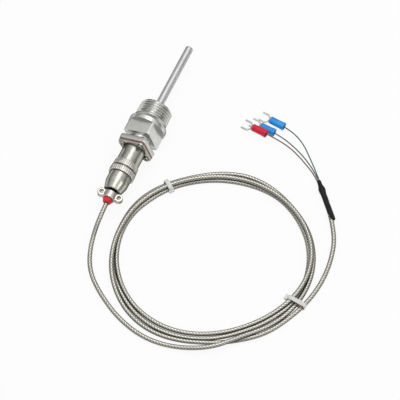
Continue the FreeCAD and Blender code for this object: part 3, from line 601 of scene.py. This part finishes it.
shrinkHeading = unit(np.array(shrinkSpec["heading"]))
cableEnd = onFloor(*shrinkSpec["start"]) + shrinkHeading * cableSpec["inShrink"]
cableRadius = cableSpec["diameter"] / 2
cableRoute = np.concatenate([
    [onFloor(*spot) for spot in cableSpec["lead"]],
    coilControls(cableSpec["diameter"], **coilSpec),
    [onFloor(*spot) for spot in cableSpec["tail"]],
    [cableEnd],
])
cableLine = routeLine("cable", cableRoute, cableSpec["steps"])
cable = makePiece("braided_cable", [tube(cableLine, cableRadius, cableSpec["sides"])], "cable_braid",
                  "cable_lead_in", "cable_coil", "cable_tail", sharp=60)
skinPoints = np.empty(3 * len(cable.data.vertices))
cable.data.vertices.foreach_get("co", skinPoints)
clearance = clearOfTurns(skinPoints.reshape(-1, 3) / mm, cableLine, cableRadius, cableSpec["sameTurn"])
# the braid paints shade where this clearance is small
cable.data.attributes.new("clearOfTurns", "FLOAT", "POINT").data.foreach_set("value", clearance)
print("cable laid:", round(lineLength(cableLine)[-1]), "mm")


# A frame that looks along a heading, with its upward direction as near the vertical as it can be
def headed(point, heading):
    ahead = unit(np.array(heading))
    upward = unit(zAxis - (zAxis @ ahead) * ahead)
    return point, np.cross(upward, ahead), upward, ahead


# Heat shrink: a tube with a bulge over the wires' joint, and slow dents where it has drawn in
def heatShrink(start, heading, length, sides, rows):
    heights = np.linspace(0.25, length - 0.25, rows)
    bulge = np.array([
        (0, 1.8), (1.0, 1.85), (12, 1.82), (length - 9.5, 1.8), (length - 7.4, 2.3), (length - 5.6, 2.32),
        (length - 3.8, 1.45), (length, 1.28)])  # stations and radii
    radius = np.interp(heights, bulge[:, 0], bulge[:, 1])
    window = 7  # rows that the radius is smoothed over
    smooth = np.convolve(np.pad(radius, window // 2, mode="edge"), np.ones(window) / window, mode="valid")
    angles = anglesAround(sides)
    row = heights[:, None]
    dents = 0.035 * np.sin(2 * angles + 0.5 * row) + 0.025 * np.sin(3 * angles - 0.9 * row)
    fade = np.minimum(1, np.minimum(heights, length - heights) / 2)[:, None]
    outer = smooth[:, None] - 0.03 + dents * fade
    mouth = roundSection([(0.02, 1.45), (0.0, 1.6)], angles)
    bore = roundSection([(length, 1.15), (length - 0.05, 0.9), (length - 4, 0.9), (4, 1.45)], angles)
    return turnedShell([mouth, (heights, outer), bore], angles, headed(onFloor(*start), heading))


shrink = makePiece("heat_shrink_sleeve", [heatShrink(**shrinkSpec)], "shrink_plastic", "heat_shrink",
                   sharp=50)

# Cable ties: a band with round edges carried round the turns, and a lock head on the inner side
tieSpec = dict(
    width=2.8, thickness=0.7, bend=1.5, bandEdge=0.25, headLevel=2.9, headEdge=0.35,
    head=(1.75, 1.1),  # half sizes along the cable and upward
    slack=0.8)  # share of the thickness that stands above the turns
tiePlaces = {"upper": (118.6, 0.8), "lower": (328.8, 1.25)}  # degrees round the coil, half the head's depth


# Where the cable passes a tie: nearest and farthest edge from the coil's centre, and the top of the turns
def passingCable(outward, along, window=2.0):
    away = cableLine - onFloor(*coilSpec["centre"], 0)
    inTie = away[(np.abs(away @ along) < window) & (away @ outward > 0)]
    reach = inTie @ outward
    return reach.min() - cableRadius, reach.max() + cableRadius, inTie[:, 2].max() + cableRadius


def cableTie(degrees, headHalf, width, thickness, bend, bandEdge, headLevel, headEdge, head, slack):
    outward = spoke(math.radians(degrees + coilSpec["tilt"]), xAxis, yAxis)
    along = np.cross(zAxis, outward)
    near, far, top = passingCable(outward, along)
    tall = top + slack * thickness
    centre = onFloor(*coilSpec["centre"], tall / 2)
    path = rectangleOutline((far - near + thickness) / 2, (tall - thickness) / 2, bend, 9)
    run = np.roll(path, -1, axis=0) - np.roll(path, 1, axis=0)
    out = unit(np.c_[run[:, 1], -run[:, 0]])
    section = rectangleOutline(width / 2, thickness / 2, bandEdge, 4)
    reach = path[:, None, :] + section[None, :, 1:] * out[:, None, :]
    grid = (centre + (reach[..., :1] + (near + far) / 2) * outward + reach[..., 1:] * zAxis
            + section[None, :, :1] * along)
    headSpot = onFloor(*coilSpec["centre"], headLevel) + outward * (near - headHalf)
    lock = block(headSpot, (outward, along, zAxis), (headHalf, *head), headEdge)
    return [skin(grid, wrapRows=True), lock]


ties = [makePiece(f"nylon_tie_{name}", cableTie(*place, **tieSpec), "tie_nylon", f"cable_tie_{name}",
                  sharp=40)
        for name, place in tiePlaces.items()]
print("heat shrink and ties made")

# Terminals: a sleeve with a funnel for the wire, a crimp barrel and a flat fork
sleeveSpec = dict(
    radius=2.35, flare=0.3, length=10.0, funnelDepth=2.4, wireHole=0.45, clearance=0.06, columns=64)
forkSpec = dict(
    barrelOuter=1.5, barrelBore=0.7, crimpStart=3.7, forkEnd=17.1, forkHalf=3.45, slotHalf=2.4, sheet=0.8,
    sheetEdge=0.2, tipRound=0.5, neckHalf=1.5, slotBase=1.3, columns=40)
wireSpec = dict(diameter=0.8, sides=12, steps=24, straight=12.6)
leads = {
    "blue_a": dict(
        wire="lead_wire_a", point=(75.45, 26.3, 2.7), heading=(-9.8, 0.9, 0.0), offset=(0.5, -0.3),
        route=[(100.0, 12.4, 0.9), (89.6, 22.3, 0.7), (78.84, 25.99, 2.7)],
        sleeve="sleeve_blue", colour="wire_grey"),
    "blue_b": dict(
        wire="lead_wire_b", point=(71.75, 19.7, 2.7), heading=(-9.8, 0.9, 0.0), offset=(0.0, 0.58),
        route=[(98.2, 11.0, 0.8), (86.4, 16.9, 0.6), (75.14, 19.39, 2.7)],
        sleeve="sleeve_blue", colour="wire_grey"),
    "red": dict(
        wire="lead_wire_red", point=(68.0, 15.55, 5.4), heading=(-10.0, 1.1, -0.7), offset=(-0.5, -0.3),
        route=[(97.6, 9.0, 0.6), (85.6, 14.8, 1.0), (74.05, 14.88, 5.82)],
        sleeve="sleeve_red", colour="wire_red"),
}


def terminalSleeve(place, radius, flare, length, funnelDepth, wireHole, clearance, columns):
    wide, inner, stop = radius + flare, forkSpec["barrelOuter"] + clearance, forkSpec["crimpStart"]
    return lathe([
        (stop - 0.1, inner, 0), (stop - 0.1, wireHole, 0.1), (funnelDepth, wireHole, 0.3),
        (0.05, wide - 0.3, 0.12), (0.0, wide - 0.05, 0.12), (0.6, wide - 0.04, 0.2),
        (stop - 1.2, radius + 0.08, 0.6), (length, radius, 0.3), (length, inner, 0.15),
    ], columns, place)


# Fork: a rounded strip carried from one prong's tip round the slot to the other; its edges are two outlines
def forkShells(place, barrelOuter, barrelBore, crimpStart, forkEnd, forkHalf, slotHalf, sheet, sheetEdge,
               tipRound, neckHalf, slotBase, columns):
    origin, across, upward, ahead = place
    base = sleeveSpec["length"]
    slotCentre = base + slotBase + slotHalf
    turn = np.linspace(0, math.pi, 25)
    run = np.linspace(forkEnd, slotCentre, 13, endpoint=False)
    side = np.full(len(run), slotHalf)
    inner = np.r_[np.c_[side, run],
                  np.c_[slotHalf * np.cos(turn), slotCentre - slotHalf * np.sin(turn)],
                  np.c_[-side, run[::-1]]]
    edge = [(forkHalf, forkEnd, 0), (forkHalf, base + 2.4, 0.8), (neckHalf, base + 1.0, 0.6),
            (neckHalf, base + 0.1, 0.15)]
    corners = softened(edge + [(-out, station, size) for out, station, size in edge[::-1]])
    measured = lineLength(corners)
    rows = np.linspace(0, measured[-1], len(inner))
    outer = np.c_[np.interp(rows, measured, corners[:, 0]), np.interp(rows, measured, corners[:, 1])]
    section = rectangleOutline(0.5, sheet / 2, sheetEdge, 4)
    share = section[:, :1] + 0.5
    flat = inner[:, None, :] * (1 - share) + outer[:, None, :] * share
    trim = np.zeros(len(inner))
    trim[[0, -1]] = tipRound  # only the two tips are rounded
    trim = trim[:, None] * np.abs(section[None, :, 0]) * 1.6
    level = -barrelOuter + sheet / 2 + section[:, 1]
    grid = (origin + flat[..., :1] * across + (flat[..., 1] - trim)[..., None] * ahead
            + level[None, :, None] * upward)
    barrel = lathe([(crimpStart, barrelBore, 0.1), (crimpStart, barrelOuter, 0.1),
                    (base + 0.8, barrelOuter, 0.15), (base + 0.8, barrelBore, 0.1)], columns, place)
    return [skin(grid, caps=True), barrel]


def makeLead(name, wire, point, heading, offset, route, sleeve, colour):
    place = headed(onFloor(*point), heading)
    cover = makePiece(f"sleeve_{name}", [terminalSleeve(place, **sleeveSpec)], sleeve,
                      f"terminal_sleeve_{name}")
    fork = makePiece(f"fork_{name}", forkShells(place, **forkSpec), "terminal_tin", f"fork_terminal_{name}")
    start = cableEnd + np.cross(shrinkHeading, zAxis) * offset[0] + zAxis * offset[1]
    inside = place[0] + place[3] * (forkSpec["crimpStart"] + 1)
    controls = np.array([start, start + shrinkHeading * wireSpec["straight"],
                         *[onFloor(*spot) for spot in route], inside])
    line = routeLine(wire, controls, wireSpec["steps"])
    cord = makePiece(f"insulated_{wire}", [tube(line, wireSpec["diameter"] / 2, wireSpec["sides"])], colour,
                     wire, sharp=60)
    (start * mm).tolist()


for name, lead in leads.items():
    makeLead(name, **lead)
print("wires and terminals made")

# Probe sheath: a closed round tube with a braze fillet where it enters the fitting
sheathSpec = dict(reach=48.0, radius=2.5, tipRound=0.9, seat=12.0, seatDrop=0.2, fillet=0.45, columns=72)


def probeSheath(reach, radius, tipRound, seat, seatDrop, fillet, columns):
    seatRadius = radius - seatDrop
    return lathe([
        (0, 0, 0), (0, radius, tipRound), (reach - 0.7, radius, 0.3), (reach + 0.05, radius + fillet, 0.1),
        (reach + 0.4, seatRadius, 0.1), (reach + seat, seatRadius, 0.1), (reach + seat, 0, 0),
    ], columns, (reach * yAxis, xAxis, zAxis, -yAxis), closed=False)


makePiece("closed_sheath", [probeSheath(**sheathSpec)], "sheath_steel", "probe_sheath", body="sensor")

# Process fitting: taper thread, cone, collar, milled square, neck and plate in one turned piece
fittingSpec = dict(
    bore=2.33, threadRadius=10.65, threadLength=10.7, threadPitch=1.814, threadDepth=1.1, threadRows=100,
    taper=1 / 32, runOut=1.3, coneEnd=13.4, collarRadius=12.4, collarEnd=16.2, cornerRadius=12.2,
    halfFlats=9.15, blockEnd=24.8, neckRadius=7.0, neckEnd=27.9, plateEnd=31.1, cavityRadius=5.4,
    cavityStart=14.1, roll=math.radians(19.0), edge=0.3, columns=360)


# Thread ridge from 0 in the root to 1 on the crest: a triangle wave with flats, that climbs a pitch a turn
def threadRidge(stations, angles, pitch, crest=1.35, root=0.12):
    phase = np.mod(stations[:, None] / pitch - angles[None, :] / fullTurn, 1)
    return np.clip((1 - np.abs(2 * phase - 1)) * crest - root, 0, 1)


# Radius of each row and column: the least of the turned profile and the milled square
def processFitting(bore, threadRadius, threadLength, threadPitch, threadDepth, threadRows, taper, runOut,
                   coneEnd, collarRadius, collarEnd, cornerRadius, halfFlats, blockEnd, neckRadius, neckEnd,
                   plateEnd, cavityRadius, cavityStart, roll, edge, columns):
    wide = 99.0  # a square this large leaves a row round
    cornerTurn = math.acos(halfFlats / cornerRadius)
    angles = anglesAround(columns, [roll + quarter * quarterTurn + side * cornerTurn
                                    for quarter in range(4) for side in (-1, 1)])
    stations = np.linspace(0, threadLength, threadRows)
    crest = threadRadius - (threadLength - stations) * taper
    fade = np.clip((threadLength - stations) / runOut, 0, 1)
    ridge = threadRidge(stations, angles, threadPitch)
    threaded = crest[:, None] - threadDepth * fade[:, None] * (1 - ridge)
    lead = crest[0] - threadDepth + 0.15 + 1.1 * stations  # chamfer at the small end
    threaded = np.minimum(threaded, lead[:, None])
    collar = softened([(threadLength, threadRadius, 0), (coneEnd, collarRadius, 0.6),
                       (collarEnd, collarRadius, 0.35), (collarEnd, cornerRadius - 0.3, 0)])
    shoulder = 9.0  # the faces on both sides of the neck are round from here inward
    neck = softened([(blockEnd, shoulder, 0), (blockEnd, neckRadius, 0.5), (neckEnd, neckRadius, 0.5),
                     (neckEnd, shoulder, 0)])

    def drawnIn(station, inset):
        return station, cornerRadius - inset, halfFlats - inset

    square = np.array([  # station, round limit, half of the square
        (collarEnd, cornerRadius - 0.1, halfFlats), drawnIn(blockEnd - edge, 0),
        drawnIn(blockEnd - edge / 3, edge / 3), drawnIn(blockEnd, edge),
        *[(station, radius, wide) for station, radius in neck],
        drawnIn(neckEnd, edge), drawnIn(neckEnd + edge / 3, edge / 3), drawnIn(neckEnd + edge, 0),
        drawnIn(plateEnd - edge, 0), drawnIn(plateEnd - 0.05, 0.1), drawnIn(plateEnd, edge),
        (plateEnd, cavityRadius, wide), (cavityStart, cavityRadius, wide), (cavityStart, bore, wide),
        (0, bore, wide)])
    flats = 1 / np.maximum(np.abs(np.cos(angles - roll)), np.abs(np.sin(angles - roll)))
    milled = np.minimum(square[:, 1:2], square[:, 2:] * flats)
    sections = [(stations, threaded), roundSection(collar[1:], angles), (square[:, 0], milled)]
    return turnedShell(sections, angles)


makePiece("threaded_fitting", [processFitting(**fittingSpec)], "fitting_steel", "process_fitting",
          body="sensor", sharp=28)
print("sheath and fitting made")

# Gasket, flange and receptacle barrel
plateSpec = dict(corner=2.4, roll=fittingSpec["roll"])
gasketSpec = dict(start=fittingSpec["plateEnd"], end=32.05, half=9.25, bore=5.4, columns=240)
flangeSpec = dict(
    start=gasketSpec["end"], end=33.5, half=9.15, barrelRadius=5.95, barrelBore=4.95, barrelEnd=42.0,
    threadPitch=1.0, threadDepth=0.4, threadRows=80, runOut=0.8, spigotStart=29.05, spigotRadius=5.25,
    relief=0.5, columns=240)


# Rows of a square plate with round corners: (station, how far the outline is drawn in)
def plateSection(half, rows, angles, corner, roll):
    reach = [squareReach(angles, half - inset, corner - inset, roll) for station, inset in rows]
    return [station for station, inset in rows], np.stack(reach)


def flangeGasket(start, end, half, bore, columns):
    angles = anglesAround(columns)
    rows = [(start, 0.16), (start + 0.12, 0.03), (start + 0.3, 0), (end - 0.3, 0), (end - 0.12, 0.03),
            (end, 0.16)]
    inner = roundSection([(end, bore), (start, bore)], angles)
    return turnedShell([plateSection(half, rows, angles, **plateSpec), inner], angles)


def receptacleShell(start, end, half, barrelRadius, barrelBore, barrelEnd, threadPitch, threadDepth,
                    threadRows, runOut, spigotStart, spigotRadius, relief, columns):
    angles = anglesAround(columns)
    rows = [(start, 0.2), (start + 0.06, 0.07), (start + 0.2, 0), (end - 0.25, 0), (end - 0.07, 0.08),
            (end, 0.25)]
    threadStart = end + relief
    stations = np.linspace(threadStart, barrelEnd - 0.35, threadRows)
    fade = np.clip((stations - end - relief) / runOut, 0, 1)[:, None]
    thread = barrelRadius - threadDepth * fade * (1 - threadRidge(stations, angles, threadPitch))
    collar = softened([(end, 7.4, 0), (end, barrelRadius, 0.4), (threadStart, barrelRadius, 0)])
    inside = [(barrelEnd, barrelRadius - 0.5), (barrelEnd, barrelBore), (spigotStart, barrelBore),
              (spigotStart, spigotRadius), (start, spigotRadius)]
    return turnedShell([
        plateSection(half, rows, angles, **plateSpec), roundSection(collar, angles), (stations, thread),
        roundSection(inside, angles)], angles)


makePiece("red_gasket", [flangeGasket(**gasketSpec)], "gasket_rubber", "flange_gasket", body="sensor")
makePiece("flanged_receptacle", [receptacleShell(**flangeSpec)], "connector_metal", "receptacle_shell",
          body="sensor", sharp=28)

# Screws: a pan head with a cross recess over a plain shank
flangeScrewSpec = dict(
    spacing=13.0, tail=27.1, head=dict(radius=1.9, height=1.3, shank=1.0, recess=0.55),
    spins=(0.6, 1.5, 2.4, 3.3))  # each was driven home at another angle
clampScrewSpec = dict(
    reach=5.8, station=68.55, seat=0.8, bottom=-1.8, spins=(0.4, 1.2),
    head=dict(radius=1.22, height=0.5, shank=0.7, recess=0.45))


# Head: rings from the centre out over a flat dome; a cross of two rounded grooves sinks into it
def screwShell(spot, ahead, level, spin, length, radius, height, shank, recess, grooveShare=0.17,
               crossShare=0.6, columns=96):
    side = spoke(spin, xAxis, level)
    place = (spot, side, np.cross(ahead, side), ahead)
    angles = anglesAround(columns)
    share = np.r_[np.linspace(0, 0.7, 22), np.linspace(0.74, 1, 12)]
    dome = height * (1 - 0.12 * share ** 2 - 0.6 * np.clip((share - 0.72) / 0.28, 0, 1) ** 2.4)
    out = share[:, None] * radius
    across, upward = out * np.cos(angles), out * np.sin(angles)

    def grooved(aside, along):
        wall = np.clip((grooveShare * radius - np.abs(aside)) / 0.12 + 0.5, 0, 1)
        return wall * np.clip((crossShare * radius - np.abs(along)) / 0.3 + 0.5, 0, 1)

    sunk = np.maximum(grooved(across, upward), grooved(upward, across)) * recess
    top = turned(0 * share, out, angles, place) + (dome[:, None] - sunk)[..., None] * ahead
    rest = turned([0.0, 0.0, -length + 0.2, -length, -length], [radius, shank, shank, shank - 0.2, 0],
                  angles, place)
    return skin(np.concatenate([top, rest]))


def flangeScrews(spacing, tail, head, spins):
    seat, reach = flangeSpec["end"], spacing / 2 * math.sqrt(2)
    turns = plateSpec["roll"] + math.pi / 4 + np.arange(4) * quarterTurn
    return [screwShell(reach * spoke(turn, xAxis, zAxis) - seat * yAxis, -yAxis, zAxis, spin, seat - tail,
                       **head)
            for turn, spin in zip(turns, spins)]


def clampScrews(reach, station, seat, bottom, spins, head):
    return [screwShell(np.array([side * reach, -station, seat]), zAxis, yAxis, spin, seat - bottom, **head)
            for side, spin in zip((-1, 1), spins)]


makePiece("recessed_flange_screws", flangeScrews(**flangeScrewSpec), "screw_steel", "flange_screws",
          body="sensor", sharp=40)
makePiece("recessed_clamp_screws", clampScrews(**clampScrewSpec), "screw_steel", "clamp_screws", sharp=40)
print("flange and screws made")

# Coupling nut: a plain barrel, then a tapered and a straight knurled ring with a groove between them
nutSpec = dict(
    start=33.7, ringStart=44.4, frontEnd=48.6, rearStart=49.7, end=53.4, barrel=7.3, front=8.3, groove=7.8,
    rear=8.4, bore=6.03, lip=5.28, lipStart=44.1, lipEnd=47.1, rearBore=7.2, knurls=36, knurlDepth=0.18,
    columns=480)


# The knurl takes its depth off a ring in narrow flutes; each row says how much of it there is
def couplingNut(start, ringStart, frontEnd, rearStart, end, barrel, front, groove, rear, bore, lip, lipStart,
                lipEnd, rearBore, knurls, knurlDepth, columns):
    angles = anglesAround(columns)
    profile = softened([
        (start, bore + 0.3, 0), (start, barrel, 0.2), (ringStart, barrel, 0.2), (ringStart, groove, 0.25),
        (frontEnd, front, 0.3), (frontEnd, groove, 0.1), (rearStart, groove, 0.1), (rearStart, rear, 0.3),
        (end, rear, 0.45), (end, rearBore, 0.15), (lipEnd, rearBore, 0), (lipEnd, lip, 0.1),
        (lipStart, lip, 0.1), (lipStart, bore, 0), (start + 0.3, bore, 0)], closed=True, steps=6)
    outside = np.clip((profile[:, 1] - groove) / 0.3, 0, 1)
    flutes = np.clip(1.5 * np.cos(angles * knurls) - 0.5, 0, 1)
    radii = profile[:, 1:] - knurlDepth * outside[:, None] * flutes
    return skin(turned(profile[:, 0], radii, angles), wrapRows=True)


makePiece("knurled_nut", [couplingNut(**nutSpec)], "connector_metal", "coupling_nut", body="nut", sharp=30)

# Backshell with the lower saddle, the loose strap over it, and the bush that they hold
shellSpec = dict(
    start=47.3, front=6.9, shoulder=53.6, radius=7.3, taperStart=59.4, end=65.4, endRadius=5.6, bore=5.25,
    columns=128)
ringSpec = dict(bore=2.75, radius=4.25, end=71.2, halfGap=0.15, rows=48)
earSpec = dict(
    reach=5.8, station=68.55, radius=2.6, thickness=1.7, holeRadius=0.85, sinkRadius=1.4, sinkDepth=1.05,
    webReach=4.15, webHalf=0.75, columns=72)
saddleStart, strapStart = shellSpec["end"] - 0.6, 66.5


# Half a ring: the profile's loop carried through half a turn less the split
def halfRing(start, upper, bore, radius, end, halfGap, rows):
    lean = math.asin(halfGap / radius)
    turn = np.linspace(lean, math.pi - lean, rows) + (0 if upper else math.pi)
    corners = [(start, bore, 0.15), (start, radius, 0.4), (end, radius, 0.4), (end, bore, 0.2)]
    profile = softened(corners, closed=True)
    return skin(turned(profile[:, 0], profile[:, 1], turn).transpose(1, 0, 2), caps=True)


# An ear: a turned eye with a sunk seat for the screw, and a web that joins it to the ring
def clampEars(upper, reach, station, radius, thickness, holeRadius, sinkRadius, sinkDepth, webReach,
              webHalf, columns):
    way = 1 if upper else -1
    split = ringSpec["halfGap"]
    top = split + thickness
    shells = []
    for side in (-1, 1):
        place = (np.array([side * reach, -station, 0]), xAxis, way * yAxis, way * zAxis)
        shells.append(lathe([
            (split, holeRadius, 0.05), (split, radius, 0.15), (top, radius, 0.4), (top, sinkRadius, 0.15),
            (top - sinkDepth, sinkRadius, 0.05), (top - sinkDepth, holeRadius, 0.05)], columns, place))
        web = np.array([side * webReach, -station, way * (split + thickness / 2)])
        shells.append(block(web, np.eye(3), (webHalf, radius - 0.35, thickness / 2 - 0.05), 0.25))
    return shells


def backshell(start, front, shoulder, radius, taperStart, end, endRadius, bore, columns):
    grip = ringSpec["bore"]
    return lathe([
        (start, bore, 0.1), (start, front, 0.2), (shoulder, front, 0), (shoulder, radius, 0.4),
        (taperStart, radius, 1.2), (end, endRadius, 0.5), (end, grip, 0.2), (end - 2, grip, 0.1),
        (end - 2, 4.5, 0.1), (taperStart, 5.2, 0.2)], columns)


saddle = [halfRing(saddleStart, False, **ringSpec), *clampEars(False, **earSpec)]
strap = [halfRing(strapStart, True, **ringSpec), *clampEars(True, **earSpec)]
makePiece("tapered_backshell", [backshell(**shellSpec), *saddle], "connector_metal", "backshell", sharp=30)
makePiece("eyed_strap", strap, "connector_metal", "clamp_strap", sharp=30)

bushSpec = dict(
    start=63.6, neck=(64.4, 66.9), neckRadius=1.62, radius=2.7, shoulder=71.3, collar=3.4, end=74.25,
    endRadius=2.3, bore=1.42, columns=72)


def cableBush(start, neck, neckRadius, radius, shoulder, collar, end, endRadius, bore, columns):
    return lathe([
        (start, bore, 0.1), (start, radius, 0.2), (neck[0], radius, 0.2), (neck[0] + 0.3, neckRadius, 0.2),
        (neck[1] - 0.3, neckRadius, 0.2), (neck[1], radius, 0.2), (shoulder, radius, 0.1),
        (shoulder, collar, 0.35), (end - 1.6, collar - 0.35, 0.8), (end, endRadius, 0.5),
        (end, bore, 0.2)], columns)


makePiece("red_bush", [cableBush(**bushSpec)], "bush_rubber", "cable_bush")
print("nut, backshell and clamp made")

# Inner pieces keep their CAD shape and get their finish
innerSlots = {
    "sensing_element": "element_ceramic", "element_lead": "lead_metal", "contact_pin": "contact_brass",
    "receptacle_insert": "insert_plastic", "plug_shell": "connector_metal", "plug_insert": "insert_plastic",
    "contact_socket": "contact_brass", "plug_wire": "wire_grey",
}
for node, item in nodes.items():
    kind = next((word for word in innerSlots if node.startswith(word)), None)
    if kind:
        item.data.materials.clear()
        item.data.materials.append(finishes[innerSlots[kind]])
print("inner pieces finished")

# Stage: a white floor that keeps a faint shadow, two soft boxes, and a room that is dim near the horizon
floorSpec = dict(
    half=4.0, drop=0.05, colour=0.92, rough=(0.85, 0.95), paper=700,
    whiteShare=0.9)  # of the floor's look that is plain white
roomSpec = dict(top=(0.80, 0.80, 0.80), side=(0.03, 0.03, 0.03), rise=(0.05, 0.8))
lampTarget = np.array([60.0, -50.0, 0.0]) * mm
lamps = {
    "top": dict(direction=(-0.05, 0.2, 0.95), distance=1.6, width=0.8, length=1.7, power=7.2),
    "side": dict(direction=(0.78, -0.08, 0.62), distance=1.6, width=0.55, length=0.55, power=2.0),
}


def makeFloor(half, drop, colour, rough, paper, whiteShare):
    level = (floorLevel - drop) * mm
    mesh = bpy.data.meshes.new("floor")
    corners = [(-half, -half, level), (half, -half, level), (half, half, level), (-half, half, level)]
    mesh.from_pydata(corners, [], [(0, 1, 2, 3)])
    addObject("floor", mesh)
    material, shader, spot = newFinish("whiteFloor", {"Base Color": (colour, colour, colour, 1.0)})
    feed(shader, {"Roughness": spot.noise(paper).spread(*rough)})
    seen = spot.node("ShaderNodeLightPath", output="Is Camera Ray")
    for ray in ("Is Glossy Ray", "Is Transmission Ray"):
        seen = seen.maths("MAXIMUM", spot.node("ShaderNodeLightPath", output=ray))
    glow = spot.node("ShaderNodeEmission", None, {"Color": (1.0, 1.0, 1.0, 1.0), "Strength": 1.0})
    lit = Field(spot.tree, shader.outputs[0])
    mixed = spot.node("ShaderNodeMixShader", None, {0: seen * whiteShare, 1: lit, 2: glow})
    out = next(node for node in spot.tree.nodes if node.type == "OUTPUT_MATERIAL")
    spot.tree.links.new(mixed.socket, out.inputs["Surface"])
    mesh.materials.append(material)


def makeWorld(top, side, rise):
    world = bpy.data.worlds.new("studio")
    bpy.context.scene.world = world
    world.use_nodes = True
    pen = Field(world.node_tree)
    out = next(node for node in pen.tree.nodes if node.type == "OUTPUT_WORLD")
    height = pen.node("ShaderNodeTexCoord", output="Generated").part("Z").between(*rise)
    room = pen.node("ShaderNodeBackground", None, {"Color": height.colours(side, top), "Strength": 1.0})
    pen.tree.links.new(room.socket, out.inputs["Surface"])


def makeLamp(name, direction, distance, width, length, power):
    aim = unit(np.array(direction))
    data = bpy.data.lights.new(name, "AREA")
    data.shape = "RECTANGLE"
    data.size = width
    data.size_y = length
    data.energy = power
    side = unit(np.cross(yAxis, aim))
    addObject(name, data, (side, np.cross(aim, side), aim, lampTarget + aim * distance))


makeFloor(**floorSpec)
makeWorld(**roomSpec)
for name, lamp in lamps.items():
    makeLamp(name, **lamp)
bpy.context.scene.view_settings.view_transform = "Standard"
print("stage set")
